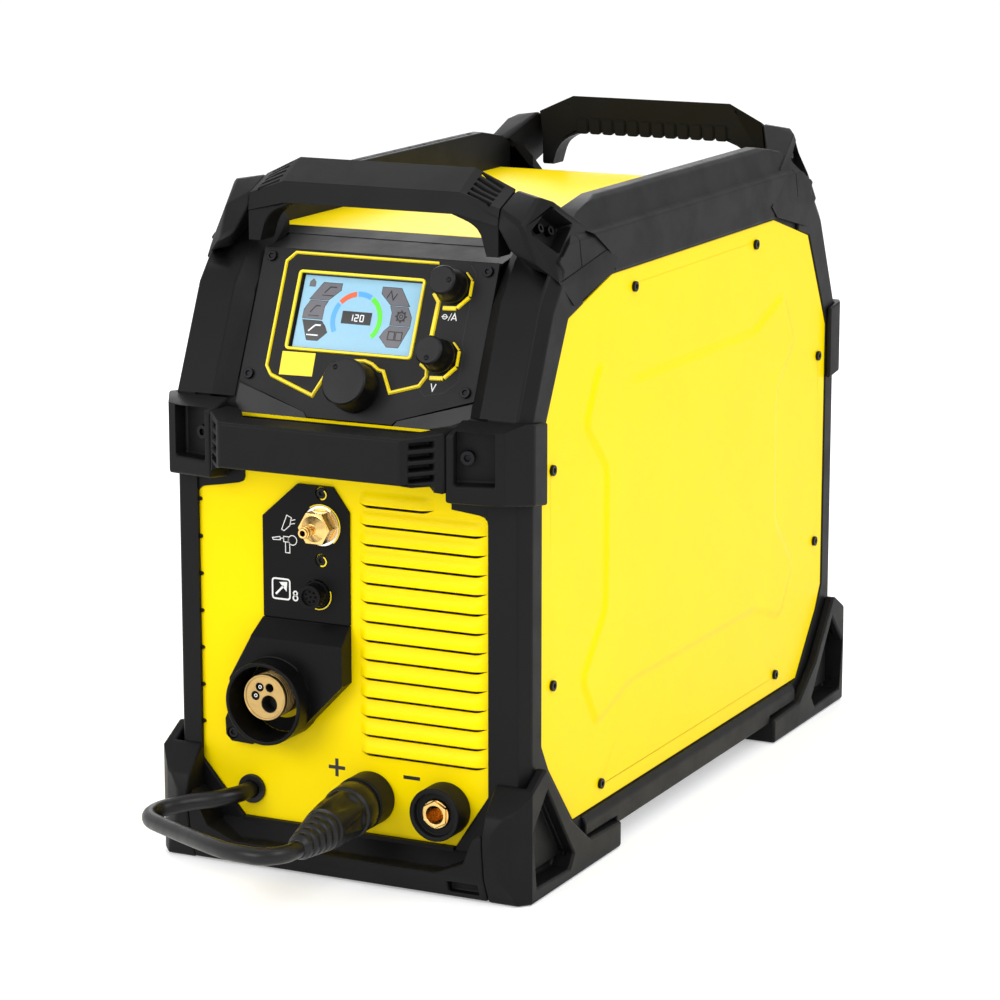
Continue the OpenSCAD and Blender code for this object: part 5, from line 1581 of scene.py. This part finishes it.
@dataclass
class Connections:
    """Connector plate, gas nozzle, remote socket, torch connector and weld sockets. Places are (x, z)."""

    torch: Point2 = (-51.5, 128.5)
    torch_out: float = 27.5
    ring: Point2 = (-52.0, 124.0)
    gas: Point2 = (-20.0, 248.5)
    remote: Point2 = (-23.0, 200.0)
    remote_out: float = 12.0
    contact_reach: float = 3.8
    washer_y: Point2 = (230.0, 271.5)
    torch_bores: Sequence[tuple[str, Point2, float]] = (("torch_bore", (3.3, -4.6), 6.15),
                                                        ("torch_gas_bore", (3.7, 7.1), 3.05))
    torch_pins: Sequence[Point2] = ((-4.1, 6.9), (-7.6, 0.4))
    bush_r: float = 3.18
    glimpses: Sequence[tuple[Point2, float, float, float, float]] = (
        ((-18.4, 271.0), 3.3, 0.9, -105, 60), ((-18.8, 223.6), 3.3, 0.9, -110, 70),
        ((-22.2, 199.4), 10.2, 0.8, -105, 20), ((-19.4, 248.9), 14.9, 0.8, -50, 125))

    def build(self) -> None:
        """Dresses the connectors and prints their signs."""
        low, high = self.washer_y
        dress_all((("connector_plate", PLATE_BLACK, 0.5, 2), ("torch_hood", SMOOTH_BLACK, 1.2, 3)))
        dress("gas_fittings", BRASS, 0.5, 2, [Zone(ZINC, lambda c, n: low < c.y < high)])
        dress_all((("remote_connector", SMOOTH_BLACK, 0.3, 2), ("torch_connector", DULL_BRASS, 0.4, 2),
                   ("output_sockets", BLACK_MOULDING, 1.2, 3), ("socket_inserts", BRASS, 0.4, 2)))
        place_turned("hood_floor", tube(16.8, 26.6, 0.05, 0.8), FRONT_PLANE, self.ring, PLATE_BLACK)
        self.polarity_signs()
        self.plate_signs()
        self.plate_holes()
        self.nozzle_washer()
        self.torch_face()
        self.remote_contacts()

    @staticmethod
    def polarity_signs() -> None:
        """Plus and minus over the weld sockets."""
        black = Print("polarity_signs", FRONT_PLANE, BLACK_INK, "black_plastic", -0.02, 0.08)
        for ends in ([(-16.5, 76.0), (-3.5, 76.0)], [(-10.0, 77.3), (-10.0, 82.5)],
                     [(-10.0, 74.7), (-10.0, 69.5)], [(42.5, 76.0), (55.5, 76.0)]):
            black.line(ends, 2.6)
        black.finish_piece()

    @staticmethod
    def plate_signs() -> None:
        """The arrow box, the figure 8 and two plug signs."""
        white = Print("connector_signs", PLATE_PLANE, WHITE_INK, "black_plastic", -0.02, 0.08)
        white.line(softened(rectangle(-58.4, 193.6, -44.6, 208.0), 2.2, 5), 1.2, True)
        white.line([(-55.8, 196.8), (-49.6, 203.0)], 1.5)
        white.area([(-46.6, 206.2), (-53.0, 205.6), (-47.2, 199.2)])
        white.ring((-40.2, 198.7), 1.45, 1.1, 20).ring((-40.2, 195.3), 1.75, 1.1, 20)
        thin = 0.6
        white.line([(-50.5, 243.6), (-46.3, 254.0), (-42.7, 252.4), (-44.0, 246.6), (-48.6, 242.7)],
                   thin, True)
        white.line([(-43.0, 250.4), (-39.6, 251.4)], thin).line([(-43.6, 247.8), (-40.0, 248.6)], thin)
        white.ring((-42.0, 236.4), 3.4, thin, 24)
        white.line([(-58.0, 236.9), (-52.0, 238.2), (-51.6, 235.9), (-57.4, 235.6)], thin, True)
        white.line([(-51.6, 237.0), (-48.8, 237.4)], thin)
        white.line([(-49.0, 238.6), (-45.2, 238.6), (-45.2, 234.8), (-49.0, 234.8)], thin, True)
        white.line([(-47.6, 234.6), (-47.6, 227.2), (-44.2, 227.2), (-44.2, 234.0)], thin)
        white.finish_piece()

    def nozzle_washer(self) -> None:
        """The bright washer behind the gas nozzle's hexagon."""
        section = [(12.3, 0.0), (14.2, 0.0), (14.4, 0.4), (14.2, 0.9), (12.3, 0.9), (12.3, 0.0)]
        place_turned("nozzle_washer", section, FRONT_PLANE, self.gas, NICKEL)

    def plate_holes(self) -> None:
        """The yellow sheet that shows beside the fittings, where the plate's holes are wider."""
        sheet = Print("plate_hole_rings", PLATE_PLANE, TRIM_YELLOW, "yellow_paint", -0.02, 0.1)
        for centre, radius, width, start, end in self.glimpses:
            sheet.line(arc(centre, radius, start, end, 28), width)
        sheet.finish_piece()

    def torch_face(self) -> None:
        """Rim, bores and pins in the torch connector's face; the bores are lined with painted shade."""
        face = front_plane(self.torch_out)
        rim = [(14.9, -0.2), (14.9, 0.4), (15.3, 0.8), (16.1, 0.8), (16.4, 0.5), (16.4, -0.2), (14.9, -0.2)]
        place_turned("torch_rim", rim, face, self.torch, DULL_BRASS)

        def at(place: Point2) -> Point2:
            """A place from the connector's middle."""
            return self.torch[0] + place[0], self.torch[1] + place[1]

        # Each bore gets near-black walls and a near-black floor disc: painted shade inside the bore.
        for name, place, r in self.torch_bores:
            place_turned(name, tube(r - 0.25, r, -11.0, -0.9), face, at(place), NEAR_BLACK_AND_BORE_SHADE, 40)
            floor = [(r - 0.1, -11.6), (r - 0.1, -11.1)]
            place_turned(name + "_floor", floor, face, at(place), NEAR_BLACK_AND_BORE_SHADE, 40)
        for i, place in enumerate(self.torch_pins):
            outer, inner = self.bush_r, self.bush_r - 0.9
            bush = [(inner, -6.0), (outer, -6.0), (outer, -0.3), (outer - 0.2, -0.1), (inner, -0.1),
                    (inner, -6.0)]
            pin = [(0.8, -6.0), (1.5, -6.0), (1.5, -0.8), (1.3, -0.6), (0.8, -0.6), (0.8, -6.0)]
            place_turned(f"pin_bush_{i}", bush, face, at(place), SMOOTH_BLACK, 32)
            place_turned(f"pin_tube_{i}", pin, face, at(place), NICKEL, 32)

    def remote_contacts(self) -> None:
        """Thin contact sleeves in the remote socket: seven in a ring and one in the middle."""
        face = front_plane(self.remote_out)
        for i in range(8):
            angle = math.radians(i * 360 / 7)
            reach = 0.0 if i == 7 else self.contact_reach
            centre = (self.remote[0] + reach * math.cos(angle), self.remote[1] + reach * math.sin(angle))
            place_turned(f"remote_contact_{i}", tube(0.55, 0.86, -0.8, 0.25), face, centre, SMOOTH_BLACK,
                         16)


# ---------------------------------------------------------------- polarity lead


@dataclass
class PolarityLead:
    """The short lead that plugs the wire feeder into a weld socket."""

    diameter: float = 0.012
    plug_length_mm: float = 92.0
    plug_tilt: float = 3.5
    plug_yaw: float = 1.9
    plug_sides: int = 96
    socket_face: Vector = field(default_factory=lambda: Vector((17.0, -307.5, 58.0)))
    points_mm: Sequence[tuple[float, float, float]] = (
        (-78, -290, 52), (-79, -302, 52), (-84, -312, 51.5), (-93, -319, 50), (-105, -323, 48),
        (-116, -327.5, 45.5), (-124.5, -335.5, 43.5), (-126, -347, 42.5), (-119.5, -358, 42.5),
        (-107, -367.5, 43.5), (-91, -378, 45), (-73, -389.5, 46.5), (-54, -402, 48.5), (-36, -412.5, 50),
        (-20, -420, 51), (-6, -423.5, 52), (5, -423.1, 52), (14, -418.5, 52.5), (19, -410.5, 52.5))
    steps: int = 6
    collar: Sequence[Point2] = (
        (0.0, 16.8), (0.3, 17.5), (3.2, 17.5), (4.0, 18.2), (5.0, 18.5), (16.8, 18.5), (17.8, 18.2),
        (18.3, 17.4), (18.9, 16.7), (19.8, 16.7), (20.4, 17.3), (21.4, 17.6))
    ridge_count: int = 5
    ridge_pitch: float = 7.3
    ridge_shape: Sequence[Point2] = ((0.0, -1.5), (0.6, -0.6), (1.5, -0.1), (2.8, 0.1), (4.4, -0.1),
                                     (5.6, -0.5), (6.4, -1.1))
    nose: Sequence[Point2] = ((90.4, 7.3), (91.4, 6.9), (91.9, 6.2))
    flute_start: float = 22.0
    flute_length: float = 29.0
    flute_depth: float = 1.9

    def plug_end(self) -> Vector:
        """The point where the lead enters the plug."""
        yaw, tilt = math.radians(self.plug_yaw), math.radians(self.plug_tilt)
        axis = Vector((math.sin(yaw) * math.cos(tilt), -math.cos(yaw) * math.cos(tilt), -math.sin(tilt)))
        return self.socket_face + axis * self.plug_length_mm

    def path(self) -> list[Vector]:
        """The lead's smooth centreline.

        Returns:
            Its points, in metres.
        """
        route = [Vector(p) * MM for p in self.points_mm] + [self.plug_end() * MM]
        ends = [route[0] * 2 - route[1]] + route + [route[-1] * 2 - route[-2]]
        line: list[Vector] = []
        for a, b, c, d in zip(ends, ends[1:], ends[2:], ends[3:]):
            for step in range(self.steps):
                t = step / self.steps
                line.append(0.5 * (2 * b + (c - a) * t + (2 * a - 5 * b + 4 * c - d) * t ** 2
                                   + (3 * b - a - 3 * c + d) * t ** 3))
        return line + [route[-1]]

    def plug_profile(self) -> list[Point2]:
        """The plug's outline.

        Returns:
            Distance from the socket and radius of its rings.
        """
        body = [(22.4 + i * 1.5, 17.6 - 0.095 * i - 0.0016 * i * i) for i in range(21)]
        tail = []
        for ridge in range(self.ridge_count):
            start, radius = 53.6 + self.ridge_pitch * ridge, 14.2 - 1.25 * ridge
            tail += [(start + along, radius + out) for along, out in self.ridge_shape]
        return [*self.collar, *body, *tail, *self.nose]

    def flute(self, along: float, angle: float) -> float:
        """The plug's grip hollows, at a place on it.

        Args:
            along: Distance from the socket.
            angle: Angle round the plug, in radians.

        Returns:
            Their depth.
        """
        share = (along - self.flute_start) / self.flute_length
        if not 0 < share < 1:
            return 0.0
        half = math.radians(22.0 * (1 - share) + 5.0)
        off = abs((angle + math.pi / 6) % (math.pi / 3) - math.pi / 6)
        fade = min(1.0, share / 0.12, (1 - share) / 0.4)
        return self.flute_depth * fade * max(0.0, 1 - (off / half) ** 2)

    def plug(self) -> bpy.types.Object:
        """Makes the plug: a smooth collar, a body with grip hollows and a ridged tail.

        Returns:
            The plug.
        """
        angles = [2 * math.pi * i / self.plug_sides for i in range(self.plug_sides)]
        work = bmesh.new()
        rings = []
        for along, radius in self.plug_profile():
            reaches = [radius - self.flute(along, angle) for angle in angles]
            rings.append([work.verts.new((reach * math.cos(a), reach * math.sin(a), along))
                          for a, reach in zip(angles, reaches)])
        work.faces.new(rings[0][::-1])
        work.faces.new(rings[-1])
        for lower, upper in zip(rings, rings[1:]):
            bridge(work, lower, upper)
        axis = (self.plug_end() - self.socket_face).normalized()
        work.transform(Matrix.Translation(self.socket_face)
                       @ Vector((0, 0, 1)).rotation_difference(axis).to_matrix().to_4x4())
        for vertex in work.verts:
            vertex.co.y = min(vertex.co.y, self.socket_face.y - 0.02)
        for face in work.faces:
            face.smooth = True
        mesh = make_mesh(work, "plug_body")
        mesh.set_sharp_from_angle(angle=math.radians(50))
        plug = add_piece("plug_body", mesh, CABLE_RUBBER, MACHINE)
        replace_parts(plug, "polarity_plug")
        return plug

    def lead(self, line: Sequence[Vector]) -> bpy.types.Object:
        """Makes the lead.

        Args:
            line: Its centreline, in metres.

        Returns:
            The lead.
        """
        curve = bpy.data.curves.new("polarity_lead", "CURVE")
        curve.dimensions = "3D"
        curve.bevel_depth = self.diameter / 2
        curve.bevel_resolution = 6
        curve.use_fill_caps = True
        spline = curve.splines.new("POLY")
        spline.points.add(len(line) - 1)
        for point, place in zip(spline.points, line):
            point.co = (*place, 1.0)
        spline.use_smooth = True
        lead = bpy.data.objects.new("lead_cable", curve)
        bpy.context.scene.collection.objects.link(lead)
        curve.materials.append(SHELF.take(CABLE_RUBBER))
        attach(lead, MACHINE)
        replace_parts(lead, "polarity_lead")
        return lead

    def build(self) -> None:
        """Makes the lead and its plug, and dresses the grommet."""
        line = self.path()
        lead = self.lead(line)
        plug = self.plug()
        socket = Plane(tuple(self.socket_face), (1, 0, 0), (0, 0, 1))
        pin = place_turned("plug_pin", [(5.4, -26.0), (6.5, -24.8), (6.5, -0.2)], socket, (0.0, 0.0), BRASS)
        dress("polarity_grommet", CABLE_RUBBER, 0.6, 3)


# ---------------------------------------------------------------- door hardware, feeder, power side, rear


@dataclass
class DoorHardware:
    """Hinge rod and quarter-turn latches of the feeder's door."""

    rows: Sequence[DressRow] = (
        ("door_hinge_rod", BRIGHT_STEEL, 0.3, 2), ("door_latch_front", BLACK_MOULDING, 0.9, 3),
        ("door_latch_rear", BLACK_MOULDING, 0.9, 3))

    def build(self) -> None:
        """Dresses the rod and the latches."""
        dress_all(self.rows)


@dataclass
class WireFeeder:
    """Feed motor, rolls, pressure arm and the spool of wire."""

    rows: Sequence[DressRow] = (
        ("feed_unit", ALUMINIUM, 0.6, 2), ("drive_roll", BRIGHT_STEEL, 0.4, 2),
        ("pressure_roll", BRIGHT_STEEL, 0.4, 2), ("pressure_arm", BLACK_MOULDING, 0.8, 2),
        ("tension_knob", BLACK_MOULDING, 0.6, 2), ("spool_hub", BLACK_MOULDING, 0.8, 2),
        ("wire_spool", SPOOL_GREY, 0.6, 2), ("wire_winding", COPPERED_WIRE, 0.4, 2))

    def build(self) -> None:
        """Dresses the feeder."""
        dress_all(self.rows)


@dataclass
class PowerSide:
    """Heatsink, transformer and main board."""

    board_x: float = 18.0
    coil_y: float = -60.0
    coil_half: float = 29.5
    core_x: Point2 = (24.9, 105.1)
    facing: float = 0.9

    def is_coil(self, place: Vector, normal: Vector) -> bool:
        """True on the faces of the transformer's winding."""
        past_core = not self.core_x[0] <= place.x <= self.core_x[1]
        return abs(place.y - self.coil_y) < self.coil_half and (past_core or abs(normal.z) > self.facing)

    def build(self) -> None:
        """Dresses the power electronics."""
        dress("heatsink", ALUMINIUM, 0.3, 1)
        dress("transformer", LAMINATION, 0.6, 2, [Zone(COIL_TAPE, self.is_coil)])
        cans = Zone(CAN_SLEEVE, lambda c, n: c.x > self.board_x)
        lids = Zone(ALUMINIUM, lambda c, n: c.x > self.board_x and n.x > self.facing)
        dress("main_board", SOLDER_MASK, 0.2, 1, [cans, lids])


@dataclass
class RearFittings:
    """Fan, mains switch and cable gland."""

    rows: Sequence[DressRow] = (
        ("fan_shroud", SMOOTH_BLACK, 0.6, 2), ("fan_rotor", SMOOTH_BLACK, 0.3, 2),
        ("power_switch", KNOB_BLACK, 0.8, 3), ("mains_gland", BLACK_MOULDING, 0.8, 2))

    def build(self) -> None:
        """Dresses the rear fittings."""
        dress_all(self.rows)


# ---------------------------------------------------------------- studio


@dataclass(frozen=True)
class Lamp:
    """A soft area lamp that looks at the machine."""

    name: str
    place: tuple[float, float, float]
    size: tuple[float, float]
    watts: float


@dataclass
class Studio:
    """Pale floor, white backdrop, soft lamps and the camera."""

    target: Vector = field(default_factory=lambda: Vector((0.0, 0.0, 0.24)))
    lamps: Sequence[Lamp] = (
        Lamp("key_lamp", (1.9, -1.2, 2.2), (1.6, 1.6), 31.0),
        Lamp("front_lamp", (-0.9, -2.6, 1.3), (1.6, 1.2), 28.0),
        Lamp("top_lamp", (0.0, 0.5, 2.6), (2.4, 1.6), 16.0),
        Lamp("rear_lamp", (-1.2, 2.2, 1.6), (1.6, 1.2), 16.0))
    fill: float = 0.8
    floor_half: float = 30.0
    floor_z: float = -0.0005
    floor_lift: float = 0.32
    lens_mm: float = 131.45
    camera_place: tuple[float, float, float] = (1.1739, -2.4450, 0.8057)
    camera_way: tuple[float, float, float] = (-0.4297, 0.8773, -0.2138)

    def build(self) -> None:
        """Sets the studio up."""
        self.floor()
        self.world()
        for lamp in self.lamps:
            self.lamp(lamp)
        self.camera()
        bpy.context.scene.view_settings.view_transform = "Standard"

    def lamp(self, lamp: Lamp) -> None:
        """Adds a lamp.

        Args:
            lamp: Its name, place, size and power.
        """
        light = bpy.data.lights.new(lamp.name, "AREA")
        light.shape = "RECTANGLE"
        light.size, light.size_y = lamp.size
        light.energy = lamp.watts
        thing = bpy.data.objects.new(lamp.name, light)
        thing.location = lamp.place
        thing.rotation_euler = (self.target - Vector(lamp.place)).to_track_quat("-Z", "Y").to_euler()
        bpy.context.scene.collection.objects.link(thing)

    @staticmethod
    def seen_directly(tree: bpy.types.NodeTree) -> bpy.types.NodeSocket:
        """Tells rays that are seen from rays that only light.

        Args:
            tree: The node tree that asks.

        Returns:
            1 for rays from the camera, in a reflection or through glass, 0 for others.
        """
        path = tree.nodes.new("ShaderNodeLightPath")
        total = path.outputs["Is Camera Ray"]
        for name in ("Is Glossy Ray", "Is Transmission Ray"):
            node = tree.nodes.new("ShaderNodeMath")
            node.operation = "MAXIMUM"
            tree.links.new(total, node.inputs[0])
            tree.links.new(path.outputs[name], node.inputs[1])
            total = node.outputs[0]
        return total

    def floor(self) -> None:
        """A large pale floor that is white where it isn't shaded."""
        half = self.floor_half
        mesh = bpy.data.meshes.new("floor")
        corners = [(*corner, 0.0) for corner in rectangle(-half, -half, half, half)]
        mesh.from_pydata(corners, [], [(0, 1, 2, 3)])
        floor = bpy.data.objects.new("floor", mesh)
        floor.location.z = self.floor_z
        bpy.context.scene.collection.objects.link(floor)
        sketch = Sketch("pale_floor")
        sketch.set(Base_Color=(0.86, 0.86, 0.86), Roughness=0.9, Specular_IOR_Level=0.1,
                   Emission_Color=(1.0, 1.0, 1.0))
        lift = sketch.math("MULTIPLY", self.seen_directly(sketch.tree), self.floor_lift)
        sketch.feed(sketch.shader.inputs["Emission Strength"], lift)
        mesh.materials.append(sketch.material)

    def world(self) -> None:
        """An even pale light that the camera sees as white."""
        world = bpy.data.worlds.new("studio")
        bpy.context.scene.world = world
        world.use_nodes = True
        tree = world.node_tree
        background = tree.nodes["Background"]
        background.inputs["Color"].default_value = (1.0, 1.0, 1.0, 1.0)
        level = tree.nodes.new("ShaderNodeMapRange")
        level.inputs["To Min"].default_value = self.fill
        level.inputs["To Max"].default_value = 1.0
        tree.links.new(self.seen_directly(tree), level.inputs["Value"])
        tree.links.new(level.outputs[0], background.inputs["Strength"])

    def camera(self) -> None:
        """The view of the product picture."""
        data = bpy.data.cameras.new("camera")
        data.sensor_width = 36.0
        data.lens = self.lens_mm
        data.clip_end = 100.0
        camera = bpy.data.objects.new("camera", data)
        camera.location = self.camera_place
        camera.rotation_euler = Vector(self.camera_way).to_track_quat("-Z", "Y").to_euler()
        bpy.context.scene.collection.objects.link(camera)
        bpy.context.scene.camera = camera


def main() -> None:
    """Builds the machine's pieces in order, then the studio."""
    logging.basicConfig(level=logging.INFO, format="%(name)s: %(message)s")
    Studio().build()
    for assembly in (PolarityLead(), SheetMetal(), Mouldings(), ControlPanel(), Connections(), DoorHardware(),
                     WireFeeder(), PowerSide(), RearFittings()):
        assembly.build()
        log.info("%s is dressed", type(assembly).__name__)


if __name__ == "__main__":
    main()
